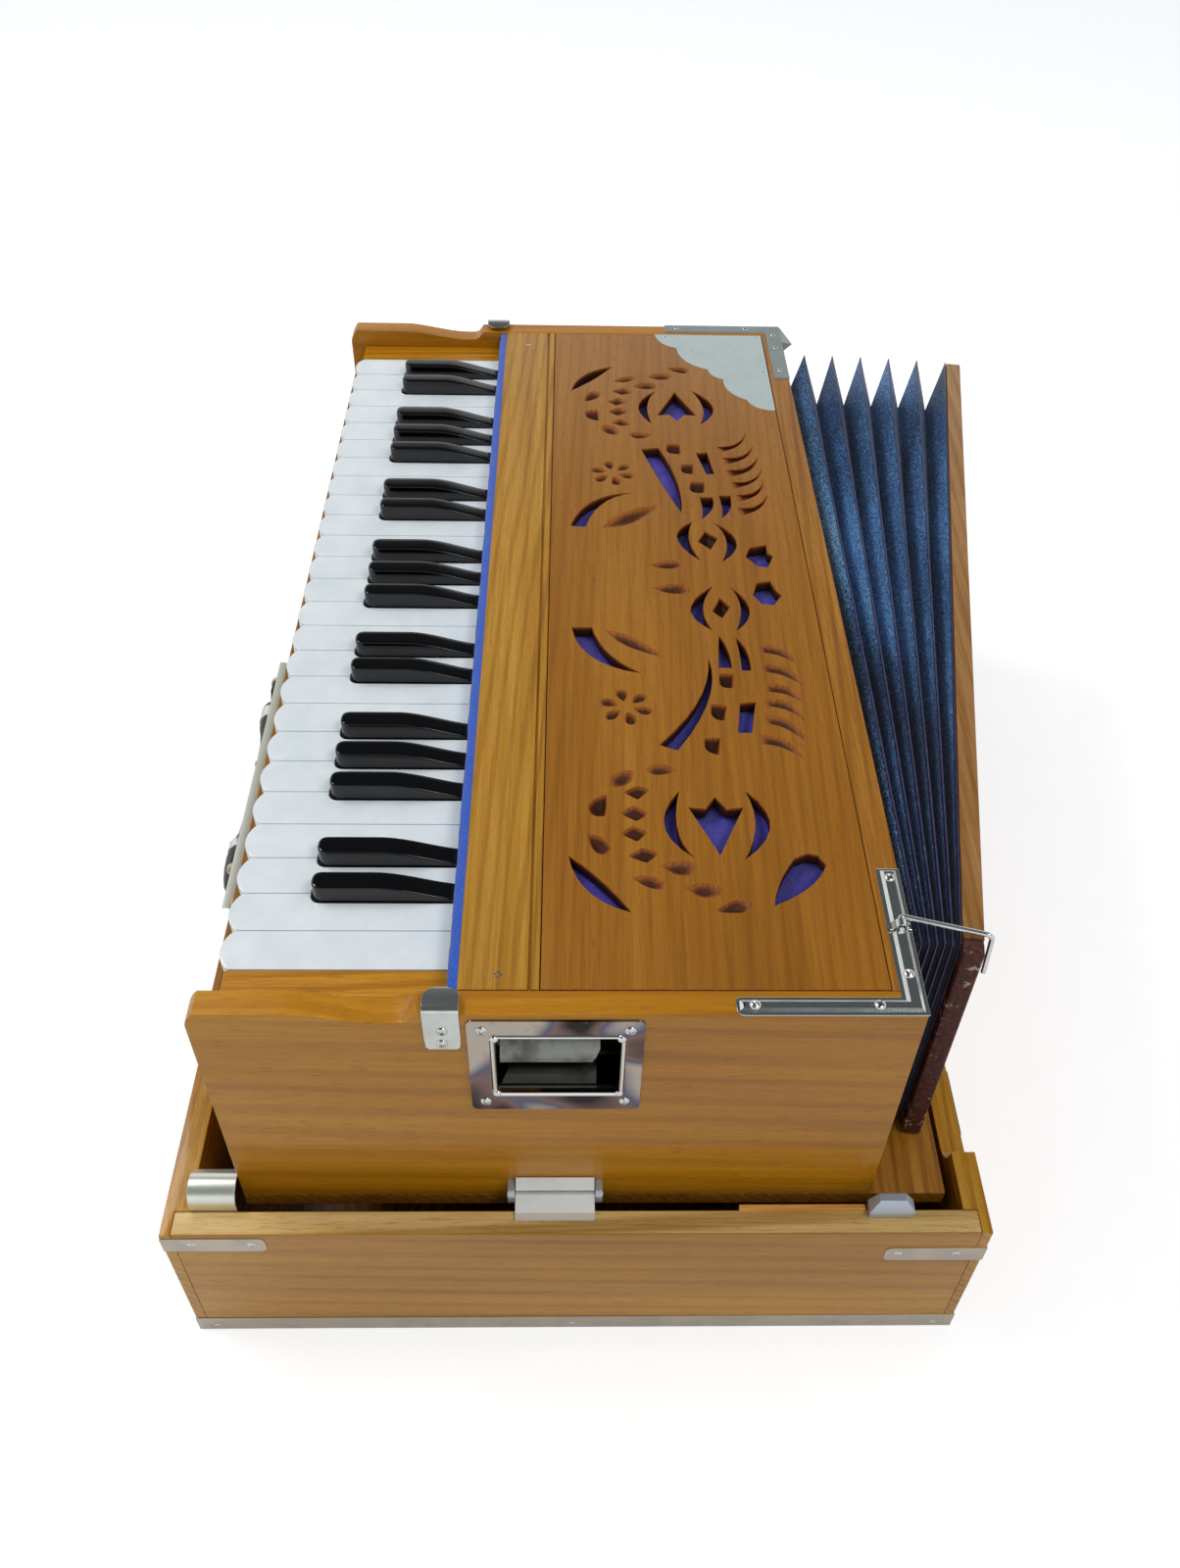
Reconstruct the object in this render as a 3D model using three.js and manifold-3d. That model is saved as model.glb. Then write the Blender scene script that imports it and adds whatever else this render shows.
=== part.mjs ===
// Folding Indian harmonium: a hand-pumped free-reed keyboard standing raised in its carrying tray.
// Millimetres. +X runs along the keyboard to the treble end, +Y from the player to the bellows, +Z up.
import * as THREE from 'three';
import { mergeVertices } from 'three/addons/utils/BufferGeometryUtils.js';
import Module from 'manifold-3d';

const wasm = await Module();
wasm.setup();

// Keyboard, whose width sets the length of the case, the tray and the bellows
const whiteCount = 25;
const whitePitch = 21.5;
const whiteGap = 0.6;
const keyEndGap = 0.25;
const whiteInset = 11.1;
const whiteBulge = 4.9;
const whiteThickness = 7.3;
const whiteDrop = 11.9;
const whiteHeadLength = 97.5;
const whiteNotchSetback = 27.9;
const blackWidth = 10.2;
const blackClearance = 0.75;
const blackFootGap = 5.1;
const blackRise = 9.7;
const blackRearRise = 1.3;
const blackEdge = 0.9;
const stickWidth = 9;
const stickHeight = 12;
const stickDrop = 2.3;
const stickRearGap = 30.9;
const palletLength = 50;
const palletSetback = 5;
const palletWidth = 9.6;
const pivotSetback = 2;

// Case, whose depth and height set those of the tray
const caseDepth = 309.6;
const caseHeight = 163.2;
const endPanel = 12.6;
const baseThickness = 10;
const baseOverrun = 37.9;
const frontBoard = 10;
const frontBoardDrop = 8;
const backBoard = 13.4;
const cheekRound = 8.2;
const cheekRoundDepth = 3.4;
const cheekDipDepth = 5.8;
const cheekDipSetback = 17.4;
const cheekDipShortSlope = 5;
const cheekDipLength = 13;
const cheekDipLongSlope = 34;
const endBlockWidth = 19;
const endBlockDrop = 0.1;
const endBlockRise = 0.5;
const panelLedgeWidth = 12;
const panelLedgeHeight = 6.6;
const backLedge = 10;
const cleatDepth = 8;
const cleatHeight = 8;
const seat = 0.3;

// Carrying tray, round the case's foot
const trayHeight = 107.1;
const trayWall = 12.4;
const trayFloor = 9;
const trayEdging = 0.5;
const trayEdgingHeight = 13.4;
const sideClearance = 12.1;
const frontClearance = 23.8;
const rearClearance = 6.3;
const caseSink = 15.1;
const notchMargin = 19;
const notchSillDrop = 1;
const trayNotchRound = 11;
const cornerBlockLap = 4.1;
const cornerBlockLength = 22.9;
const cornerBlockHeight = 11.5;
const cornerBlockInset = 3.6;
const cornerBlockReach = 4;

// Reed board and balance rail
const reedBoardDrop = 15.7;
const reedBoardThickness = 8.3;
const reedBoardGap = 5.1;
const reedSlotWidth = 6;
const reedSlotMargin = 5;
const balanceRailWidth = 6;
const balanceGap = 0.4;

// Key rail and carved top panel
const railHeadGap = 3.8;
const railDepth = 34.6;
const railLift = 0.2;
const railGrooveSetback = 4.3;
const railGroove = 1.6;
const panelGap = 0.4;
const panelThickness = 6.2;

// Bellows
const bellowsInset = 38.6;
const bellowsLift = 2.5;
const bellowsDrop = 1.7;
const hingeLead = 2;
const firstRidgeGap = 3.8;
const foldPitch = 3.42;
const foldCount = 6;
const firstRidgeTurn = THREE.MathUtils.degToRad(1.2);
const foldStep = THREE.MathUtils.degToRad(1.8);
const foldDepth = 22;
const foldSkin = 1.6;
const foldGap = 0.3;
const nearCrease = 12;
const farCrease = 3.2;
const boardThickness = 9.6;
const boardOverhang = 4;
const boardSkirt = 1;
const boardRise = 1.5;
const boardLag = 0.6;

// Hook
const hookRadius = 1.2;
const hookPinInset = 12.2;
const hookPinLength = 8;
const hookPinSetback = 4.8;
const hookPinRise = 3;
const hookRise = 1.1;
const hookEndInset = 0.4;
const hookEndGap = 3;
const hookLean = 3;
const hookDrop = 22;
const hookBend = 2.6;
const saddleOffset = 2.8;
const saddleLength = 4.2;
const saddleHalfWidth = 2.6;
const saddleWall = 0.6;

// Carrying handle
const handlePlateHalfLength = 114;
const handlePlateDrop = 3.1;
const handlePlateHeight = 44;
const handlePlateThickness = 2.5;
const gripCentre = -4;
const gripHalfLength = 84;
const gripPivotOut = 8.8;
const gripPivotDrop = 12;
const gripAxisOut = 13.3;
const gripAxisDrop = 22;
const gripRadius = 9.6;
const gripWaist = 5.2;
const gripArm = 8;
const gripArmWidth = 7;
const gripPinRadius = 2.4;
const earThickness = 3;

// Cup handles let into the end panels
const cupPlateShift = 0.8;
const cupPlateLength = 75;
const cupPlateDrop = 3.2;
const cupPlateHeight = 68.8;
const cupPlateThickness = 1.2;
const cupFrontMargin = 11.5;
const cupRearMargin = 9.5;
const cupBottomMargin = 14.1;
const cupTopMargin = 12.4;
const cupDepth = 20;
const cupWall = 1.4;
const cupClearance = 0.5;
const lipDrop = 12;
const lipReach = 9;

// Folding end supports
const supportShift = 1.55;
const supportLength = 38.5;
const supportPinOut = 4.8;
const supportPinRise = 4.3;
const supportBarrel = 2.3;
const supportLeaf = 1.6;
const supportFootLap = 0.1;
const supportFootWidth = 5;
const supportPinProud = 4;
const lugWidth = 3.4;
const lugHalfHeight = 5;
const lugReach = 3.2;

// Drawing steps and cutting margin
const cutMargin = 1;
const roundSteps = 12;
const wireSteps = 8;
const wireLengths = 26;
const curveSteps = 4;
const quarter = Math.PI / 2;

// Places along the keyboard, counted from its middle
const panelInner = (whiteCount * whitePitch) / 2 + keyEndGap + endBlockWidth;
const caseHalfLength = panelInner + endPanel;
const trayHalfLength = caseHalfLength + sideClearance + trayWall;
const reedBoardHalfLength = caseHalfLength - cupDepth - cupClearance - reedBoardGap;
const bellowsHalfLength = caseHalfLength - bellowsInset;
const hingeX = bellowsHalfLength + hingeLead;
const boardLength = bellowsHalfLength * 2 + boardOverhang;
const trayNotchHalfLength = bellowsHalfLength + notchMargin;
const hookPinX = bellowsHalfLength - hookPinInset;
const hookEndX = bellowsHalfLength - hookEndInset;
const supportPinX = caseHalfLength + supportPinOut;
const supportFootInner = trayHalfLength - trayWall - supportFootLap;
const supportFootOuter = supportFootInner + supportFootWidth;

// Places from the player's side to the bellows, counted from the tray's middle
const trayHalfDepth = (caseDepth + baseOverrun + frontClearance + rearClearance) / 2 + trayWall;
const caseFront = frontClearance + trayWall - trayHalfDepth;
const caseRear = caseFront + caseDepth;
const caseMiddle = (caseFront + caseRear) / 2;
const baseRear = caseRear + baseOverrun;
const cornerBlockFront = caseRear - cornerBlockLap;
const cornerBlockRear = cornerBlockFront + cornerBlockLength;
const whiteCusp = caseFront + whiteInset;
const whiteNotchFront = whiteCusp + whiteNotchSetback;
const blackFoot = whiteNotchFront + blackFootGap;
const keyHeadRear = whiteCusp + whiteHeadLength;
const railFront = keyHeadRear + railHeadGap;
const railRear = railFront + railDepth;
const railGrooveY = railRear - railGrooveSetback;
const pivotY = railRear - pivotSetback;
const panelFront = railRear + panelGap;
const panelRear = caseRear - backBoard - seat;
const stickRear = panelRear - stickRearGap;
const palletRear = stickRear - palletSetback;
const palletFront = palletRear - palletLength;
const cheekDipRise = railFront - cheekDipSetback;
const cheekDipEnd = cheekDipRise - cheekDipShortSlope;
const cheekDipStart = cheekDipEnd - cheekDipLength;
const cheekDipFront = cheekDipStart - cheekDipLongSlope;
const firstRidgeY = caseRear + firstRidgeGap;
const hookPinY = caseRear - hookPinSetback;
const hookEndY = firstRidgeY + (foldCount - 1) * foldPitch + boardLag + boardThickness + hookEndGap;
const cupPlateFront = caseMiddle - cupPlateShift - cupPlateLength / 2;
const cupPlateRear = cupPlateFront + cupPlateLength;
const cupFront = cupPlateFront + cupFrontMargin;
const cupRear = cupPlateRear - cupRearMargin;
const supportFront = caseMiddle - supportShift - supportLength / 2;
const supportRear = supportFront + supportLength;

// Heights, counted from the tray's underside
const baseBottom = trayHeight - caseSink;
const baseTop = baseBottom + baseThickness;
const caseTop = baseBottom + caseHeight;
const trayNotchSill = baseBottom - notchSillDrop;
const cheekRoundStart = caseTop - cheekRound;
const cheekDip = caseTop - cheekDipDepth;
const whiteTop = caseTop - whiteDrop;
const blackTop = whiteTop + blackRise;
const blackRearTop = whiteTop + blackRearRise;
const stickTop = whiteTop - stickDrop;
const stickBottom = stickTop - stickHeight;
const reedBoardTop = stickBottom - reedBoardDrop;
const balanceRailHeight = reedBoardDrop - balanceGap;
const frontBoardTop = whiteTop - whiteThickness - frontBoardDrop;
const endBlockTop = whiteTop - endBlockDrop;
const endBlockBottom = reedBoardTop + endBlockRise;
const railBottom = whiteTop + railLift;
const bellowsBottom = baseTop + bellowsLift;
const bellowsTop = caseTop - bellowsDrop;
const boardBottom = bellowsBottom - boardSkirt;
const boardTop = bellowsTop + boardRise;
const hookPinZ = caseTop + hookPinRise;
const handlePlateTop = trayHeight - handlePlateDrop;
const handlePlateBottom = handlePlateTop - handlePlateHeight;
const gripPivotZ = handlePlateTop - gripPivotDrop;
const gripAxisZ = gripPivotZ - gripAxisDrop;
const cupPlateTop = caseTop - cupPlateDrop;
const cupPlateBottom = cupPlateTop - cupPlateHeight;
const cupBottom = cupPlateBottom + cupBottomMargin;
const cupTop = cupPlateTop - cupTopMargin;
const supportPinZ = trayHeight + supportPinRise;

const teak = { color: 0x9a6328, roughness: 0.35, metalness: 0 };
const ivory = { color: 0xdde6ea, roughness: 0.25, metalness: 0 };
const ebony = { color: 0x0b0b0e, roughness: 0.18, metalness: 0 };
const cloth = { color: 0x1b2a5c, roughness: 0.6, metalness: 0 };
const chrome = { color: 0xd4d8dc, roughness: 0.12, metalness: 1 };
const aluminium = { color: 0xb4b6ba, roughness: 0.4, metalness: 1 };
const steel = { color: 0xc8c8c4, roughness: 0.25, metalness: 1 };
const moulding = { color: 0x121214, roughness: 0.4, metalness: 0 };
const pearwood = { color: 0xb98a4e, roughness: 0.5, metalness: 0 };

const model = new THREE.Group();

// A closed geometry as a solid that can be joined and cut
function toSolid(geometry, matrix) {
  const bare = geometry.clone();
  bare.deleteAttribute('normal');
  bare.deleteAttribute('uv');
  if (matrix) bare.applyMatrix4(matrix);
  const merged = mergeVertices(bare, 1e-4);
  return new wasm.Manifold(new wasm.Mesh({
    numProp: 3,
    vertProperties: new Float32Array(merged.attributes.position.array),
    triVerts: new Uint32Array(merged.index.array),
  }));
}

function toGeometry(solid) {
  const mesh = solid.getMesh();
  const geometry = new THREE.BufferGeometry();
  geometry.setAttribute('position', new THREE.BufferAttribute(mesh.vertProperties, 3));
  geometry.setIndex(new THREE.BufferAttribute(mesh.triVerts, 1));
  return geometry;
}

function addPart(name, solid, look, group = model) {
  const geometry = toGeometry(solid);
  geometry.computeVertexNormals();
  const mesh = new THREE.Mesh(geometry, new THREE.MeshStandardMaterial(look));
  mesh.name = name;
  group.add(mesh);
  return mesh;
}

function box(x0, x1, y0, y1, z0, z1) {
  const geometry = new THREE.BoxGeometry(x1 - x0, y1 - y0, z1 - z0);
  geometry.translate((x0 + x1) / 2, (y0 + y1) / 2, (z0 + z1) / 2);
  return toSolid(geometry);
}

// Flat outline in X and Y, standing from z0 to z1
function standing(points, z0, z1) {
  const shape = new THREE.Shape(points.map(([x, y]) => new THREE.Vector2(x, y)));
  const geometry = new THREE.ExtrudeGeometry(shape, { depth: z1 - z0, bevelEnabled: false });
  return toSolid(geometry, new THREE.Matrix4().makeTranslation(0, 0, z0));
}

// Side outline in Y and Z, running from x0 to x1
function lengthwise(points, x0, x1, edge = 0) {
  const shape = new THREE.Shape(points.map(([y, z]) => new THREE.Vector2(y, z)));
  const geometry = new THREE.ExtrudeGeometry(shape, {
    depth: x1 - x0 - 2 * edge,
    bevelEnabled: edge > 0,
    bevelSize: edge,
    bevelThickness: edge,
    bevelOffset: -edge,
    bevelSegments: 1,
  });
  const turn = new THREE.Matrix4().makeBasis(
    new THREE.Vector3(0, 1, 0), new THREE.Vector3(0, 0, 1), new THREE.Vector3(1, 0, 0));
  return toSolid(geometry, new THREE.Matrix4().makeTranslation(x0 + edge, 0, 0).multiply(turn));
}

// End outline in X and Z, running from y0 to y1
function crosswise(points, y0, y1) {
  const shape = new THREE.Shape(points.map(([x, z]) => new THREE.Vector2(x, z)));
  const geometry = new THREE.ExtrudeGeometry(shape, { depth: y1 - y0, bevelEnabled: false });
  const turn = new THREE.Matrix4().makeBasis(
    new THREE.Vector3(1, 0, 0), new THREE.Vector3(0, 0, 1), new THREE.Vector3(0, -1, 0));
  return toSolid(geometry, new THREE.Matrix4().makeTranslation(0, y1, 0).multiply(turn));
}

// Round rod along X
function rod(radius, x0, x1, y, z, sides = roundSteps) {
  const geometry = new THREE.CylinderGeometry(radius, radius, x1 - x0, sides);
  geometry.rotateZ(quarter);
  geometry.translate((x0 + x1) / 2, y, z);
  return toSolid(geometry);
}

// Round rod along Y
function crossRod(radius, y0, y1, x, z, sides = roundSteps) {
  const geometry = new THREE.CylinderGeometry(radius, radius, y1 - y0, sides);
  geometry.translate(x, (y0 + y1) / 2, z);
  return toSolid(geometry);
}

const join = (first, ...others) => others.reduce((sum, next) => sum.add(next), first);

// Tray: floor, four walls with the rear one lowered between its round-ended posts, metal foot edging
const trayInnerLength = trayHalfLength - trayWall;
const trayInnerDepth = trayHalfDepth - trayWall;
const notchPoints = [[-trayNotchHalfLength + trayNotchRound, trayNotchSill]];
notchPoints.push([trayNotchHalfLength - trayNotchRound, trayNotchSill]);
for (let i = 1; i <= curveSteps; i += 1) {
  const turn = (i / curveSteps) * quarter;
  notchPoints.push([
    trayNotchHalfLength - trayNotchRound + trayNotchRound * Math.sin(turn),
    trayNotchSill + (trayHeight - trayNotchSill) * (1 - Math.cos(turn)),
  ]);
}
notchPoints.push([trayNotchHalfLength, trayHeight + cutMargin]);
notchPoints.push([-trayNotchHalfLength, trayHeight + cutMargin]);
for (let i = curveSteps; i >= 1; i -= 1) {
  const turn = (i / curveSteps) * quarter;
  notchPoints.push([
    -trayNotchHalfLength + trayNotchRound - trayNotchRound * Math.sin(turn),
    trayNotchSill + (trayHeight - trayNotchSill) * (1 - Math.cos(turn)),
  ]);
}
let tray = box(-trayHalfLength, trayHalfLength, -trayHalfDepth, trayHalfDepth, 0, trayHeight)
  .subtract(box(-trayInnerLength, trayInnerLength, -trayInnerDepth, trayInnerDepth,
    trayFloor, trayHeight + cutMargin))
  .subtract(crosswise(notchPoints, trayInnerDepth - cutMargin, trayHalfDepth + cutMargin))
  .add(box(-trayHalfLength - trayEdging, trayHalfLength + trayEdging,
    -trayHalfDepth - trayEdging, trayHalfDepth + trayEdging, 0, trayEdgingHeight)
    .subtract(box(-trayInnerLength, trayInnerLength, -trayInnerDepth, trayInnerDepth,
      trayFloor, trayHeight)));
for (const side of [-1, 1]) {
  const inner = trayInnerLength - cornerBlockReach;
  const outer = trayInnerLength + cornerBlockInset;
  const x = [inner, outer].map((reach) => side * reach).sort((a, b) => a - b);
  tray = tray.add(box(x[0], x[1], cornerBlockFront, cornerBlockRear,
    trayHeight - cornerBlockHeight, trayHeight + cornerBlockHeight));
}
addPart('tray', tray, teak);

// Case: base board, shaped end panels, front and back boards, key blocks, ledges and cleats
const cheek = [
  [caseFront, baseTop - cutMargin],
  [caseRear, baseTop - cutMargin],
  [caseRear, caseTop],
  [cheekDipRise, caseTop],
  [cheekDipEnd, cheekDip],
  [cheekDipStart, cheekDip],
  [(cheekDipStart + cheekDipFront) / 2, (cheekDip + caseTop) / 2],
  [cheekDipFront, caseTop],
  [caseFront + cheekRoundDepth, caseTop],
  [caseFront, cheekRoundStart],
];
let body = join(
  box(-caseHalfLength, caseHalfLength, caseFront, baseRear, baseBottom, baseTop),
  box(-caseHalfLength, caseHalfLength, caseRear - backBoard, caseRear, baseTop - cutMargin, caseTop),
  box(-caseHalfLength, caseHalfLength, caseFront, caseFront + frontBoard,
    baseTop - cutMargin, frontBoardTop),
);
const reedBoardBottom = reedBoardTop - reedBoardThickness;
const cleatTop = reedBoardBottom - seat;
const ledgeTop = caseTop - panelThickness - seat;
body = join(body,
  box(-panelInner, panelInner, caseFront + frontBoard - cutMargin, caseFront + frontBoard + cleatDepth,
    cleatTop - cleatHeight, cleatTop),
  box(-panelInner, panelInner, caseRear - backBoard - cleatDepth, caseRear - backBoard + cutMargin,
    cleatTop - cleatHeight, cleatTop),
  box(-panelInner, panelInner, caseRear - backBoard - backLedge, caseRear - backBoard + cutMargin,
    ledgeTop - panelLedgeHeight, ledgeTop),
);
for (const side of [-1, 1]) {
  const span = (inner, outer) => [inner, outer].map((reach) => side * reach).sort((a, b) => a - b);
  const panel = span(panelInner, caseHalfLength);
  const block = span(panelInner - endBlockWidth, panelInner + cutMargin);
  const ledge = span(panelInner - panelLedgeWidth, panelInner + cutMargin);
  const pocket = span(caseHalfLength - cupDepth - cupClearance, caseHalfLength + cutMargin);
  const margin = cupWall + cupClearance;
  body = body
    .add(lengthwise(cheek, panel[0], panel[1]))
    .add(box(block[0], block[1], caseFront + frontBoard - cutMargin, railRear,
      endBlockBottom, endBlockTop))
    .add(box(ledge[0], ledge[1], panelFront, caseRear - backBoard, ledgeTop - panelLedgeHeight, ledgeTop))
    .subtract(box(pocket[0], pocket[1], cupFront - margin, cupRear + margin,
      cupBottom - margin, cupTop + margin));
  const lug = span(caseHalfLength - cutMargin, supportPinX + lugReach);
  for (const lugFront of [supportFront - seat - lugWidth, supportRear + seat]) {
    body = body
      .add(box(lug[0], lug[1], lugFront, lugFront + lugWidth,
        supportPinZ - lugHalfHeight, supportPinZ + lugHalfHeight))
      .subtract(crossRod(supportBarrel / 2 + seat, lugFront - cutMargin, lugFront + lugWidth + cutMargin,
        side * supportPinX, supportPinZ));
  }
}
// Raised saddle on the top of the back board that holds the pin of the bellows hook
const saddleStart = hookPinX + saddleOffset;
body = body
  .add(box(saddleStart, saddleStart + saddleLength, hookPinY - saddleHalfWidth, hookPinY + saddleHalfWidth,
    caseTop - cutMargin, hookPinZ + hookRadius + seat + saddleWall))
  .subtract(rod(hookRadius + seat, saddleStart - cutMargin, saddleStart + saddleLength + cutMargin,
    hookPinY, hookPinZ));
addPart('case', body, teak);

// Reed board on its cleats, one slot under each pallet, with the balance rail that the keys rock on
const whiteLeft = (-whiteCount * whitePitch) / 2;
const scaleNames = ['C', 'D', 'E', 'F', 'G', 'A', 'B'];
const sharpAfter = ['C', 'D', 'F', 'G', 'A'];
const keys = [];
for (let i = 0; i < whiteCount; i += 1) {
  const letter = scaleNames[i % scaleNames.length];
  const octave = Math.floor(i / scaleNames.length) + 3;
  keys.push({ white: true, x: whiteLeft + (i + 1 / 2) * whitePitch, letter, octave, index: i });
  if (sharpAfter.includes(letter) && i < whiteCount - 1) {
    keys.push({ white: false, x: whiteLeft + (i + 1) * whitePitch, letter, octave, index: i });
  }
}
const railZ = reedBoardTop + balanceRailHeight;
let reedBoard = box(-reedBoardHalfLength, reedBoardHalfLength,
  caseFront + frontBoard + seat, caseRear - backBoard - seat, reedBoardBottom, reedBoardTop)
  .add(box(-panelInner + endBlockWidth + cutMargin, panelInner - endBlockWidth - cutMargin,
    pivotY - balanceRailWidth / 2, pivotY + balanceRailWidth / 2,
    reedBoardTop - cutMargin, railZ));
for (const key of keys) {
  reedBoard = reedBoard.subtract(box(
    key.x - reedSlotWidth / 2, key.x + reedSlotWidth / 2,
    palletFront + reedSlotMargin, palletRear - reedSlotMargin,
    reedBoardBottom - cutMargin, reedBoardTop + cutMargin));
}
addPart('reed_board', reedBoard, pearwood);

// Keys: a head in front, a wooden stick behind it and a pallet over the slot
const pallet = box(-palletWidth / 2, palletWidth / 2, palletFront, palletRear,
  reedBoardTop + seat, stickBottom + cutMargin);
const blackStick = box(-stickWidth / 2, stickWidth / 2, blackFoot + blackEdge * 2, stickRear,
  stickBottom, stickTop)
  .add(box(-palletWidth / 2, palletWidth / 2, palletFront, palletRear,
    reedBoardTop + seat, stickBottom + cutMargin));
const hasSharp = (i) => i >= 0 && i < whiteCount - 1 && sharpAfter.includes(scaleNames[i % scaleNames.length]);
const blackHeight = blackTop - blackRearTop;
const blackSpan = keyHeadRear - blackFoot;
const blackProfileShares = [
  [0, -0.2], [0.02, 0.45], [0.045, 0.85], [0.09, 1], [0.52, 1], [0.66, 0.8], [0.8, 0.38], [0.9, 0.1], [1, 0],
];
const blackFootZ = whiteTop - whiteThickness;
const blackProfile = blackProfileShares.map(([along, up]) => [
  blackFoot + along * blackSpan,
  blackRearTop + up * blackHeight,
]);
blackProfile.push([keyHeadRear, blackFootZ]);
blackProfile.push([blackFoot, blackFootZ]);
blackProfile.reverse();

for (const key of keys) {
  const group = new THREE.Group();
  group.position.x = key.x;
  model.add(group);
  if (key.white) {
    const half = (whitePitch - whiteGap) / 2;
    const notch = whitePitch / 2 - blackWidth / 2 - blackClearance;
    const left = hasSharp(key.index - 1) ? -notch : -half;
    const right = hasSharp(key.index) ? notch : half;
    const outline = [];
    for (let i = 0; i <= curveSteps * 2; i += 1) {
      const across = (i / curveSteps - 1);
      outline.push([across * half, whiteCusp - whiteBulge * (1 - across * across)]);
    }
    if (right < half) outline.push([half, whiteNotchFront], [right, whiteNotchFront]);
    outline.push([right, keyHeadRear], [left, keyHeadRear]);
    if (-left < half) outline.push([left, whiteNotchFront], [-half, whiteNotchFront]);
    const head = standing(outline, whiteTop - whiteThickness, whiteTop);
    const stick = box(left, right, whiteNotchFront, stickRear, stickBottom, stickTop);
    addPart(`white_key_${key.letter}${key.octave}`, join(head, stick, pallet), ivory, group);
  } else {
    const head = lengthwise(blackProfile, -blackWidth / 2, blackWidth / 2, blackEdge);
    addPart(`black_key_${key.letter}s${key.octave}`, head.add(blackStick), ebony, group);
  }
}

// Key rail over the rear of the keys, with a moulding groove along its back edge
const rail = [
  [railFront, railBottom],
  [railRear, railBottom],
  [railRear, caseTop],
  [railGrooveY + railGroove / 2, caseTop],
  [railGrooveY, caseTop - railGroove],
  [railGrooveY - railGroove / 2, caseTop],
  [railFront, caseTop],
];
addPart('key_rail', lengthwise(rail, -panelInner + seat, panelInner - seat), teak);

// Carved top panel. Each cut has a tip, two heel corners and the middles of its three sides, as shares
// of the panel in hundredths: half its length along X from the middle, its depth along Y from the front.
const nearCutShares = [
  [[18.5, 62.2], [27.6, 61], [27.7, 65.6], [23.1, 62], [27.7, 63.3], [23.1, 65.3]],
  [[19.2, 68.1], [28.4, 69], [28.5, 72.6], [23.7, 69.4], [28.5, 70.9], [23.1, 71.9]],
  [[29.6, 60.7], [29.6, 66.1], [33.2, 65.1], [29.5, 63.4], [31.4, 65.9], [32.5, 60.9]],
  [[38, 57.1], [38.1, 62.2], [41.9, 61.1], [38, 59.7], [40, 61.8], [41.1, 56.8]],
  [[46.5, 53.7], [46.6, 59.1], [50.6, 58], [46.5, 56.4], [48.5, 58.6], [49.5, 53.3]],
  [[25, 57.8], [48.3, 37.9], [49.8, 44.3], [36.5, 53.1], [49, 41.1], [36.5, 56.6]],
  [[3.1, 62.4], [17.1, 60.5], [17.1, 60.5], [10.5, 52.7], [17.1, 60.5], [10.2, 57.8]],
  [[3.2, 68.1], [17.1, 68.8], [17.1, 68.8], [10.3, 75.5], [17.1, 68.8], [9.5, 71.7]],
  [[29.6, 33.5], [16.4, 8.7], [16.3, 16.1], [25, 15.6], [16.2, 12.4], [24, 22]],
];
const farCutShares = [
  [[-18.6, 57.1], [-5, 58.7], [-5, 58.7], [-12.8, 50.3], [-5, 58.7], [-12.3, 55.2]],
  [[-18.9, 65.1], [-4.7, 67.3], [-4.7, 67.3], [-11.8, 74], [-4.7, 67.3], [-12.4, 69.8]],
  [[-19.8, 60.9], [-27.9, 61.2], [-27.9, 66.5], [-23.6, 62], [-28, 63.8], [-23.7, 65.7]],
  [[-20.2, 68.8], [-28.4, 68.9], [-28.4, 73.9], [-24, 69.7], [-28.4, 71.4], [-23.8, 73.1]],
  [[-33.5, 58.1], [-33.7, 63.8], [-29.4, 63.2], [-33.7, 60.9], [-31.6, 63.7], [-30.2, 57.8]],
  [[-40.4, 54.7], [-40.6, 59.8], [-37, 59.5], [-40.8, 57.2], [-38.7, 59.9], [-37.5, 54.6]],
  [[-48.5, 49.7], [-48.8, 55.1], [-44.8, 54.7], [-49, 52.4], [-46.8, 55.1], [-45.5, 49.6]],
  [[-21.9, 53.2], [-46.4, 38], [-47, 45.3], [-33.4, 45.8], [-46.8, 41.6], [-34.2, 52.5]],
  [[-29.1, 34.1], [-17.1, 7.5], [-16.6, 14.1], [-26.1, 17.1], [-16.7, 10.8], [-25.2, 21.3]],
];
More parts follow.
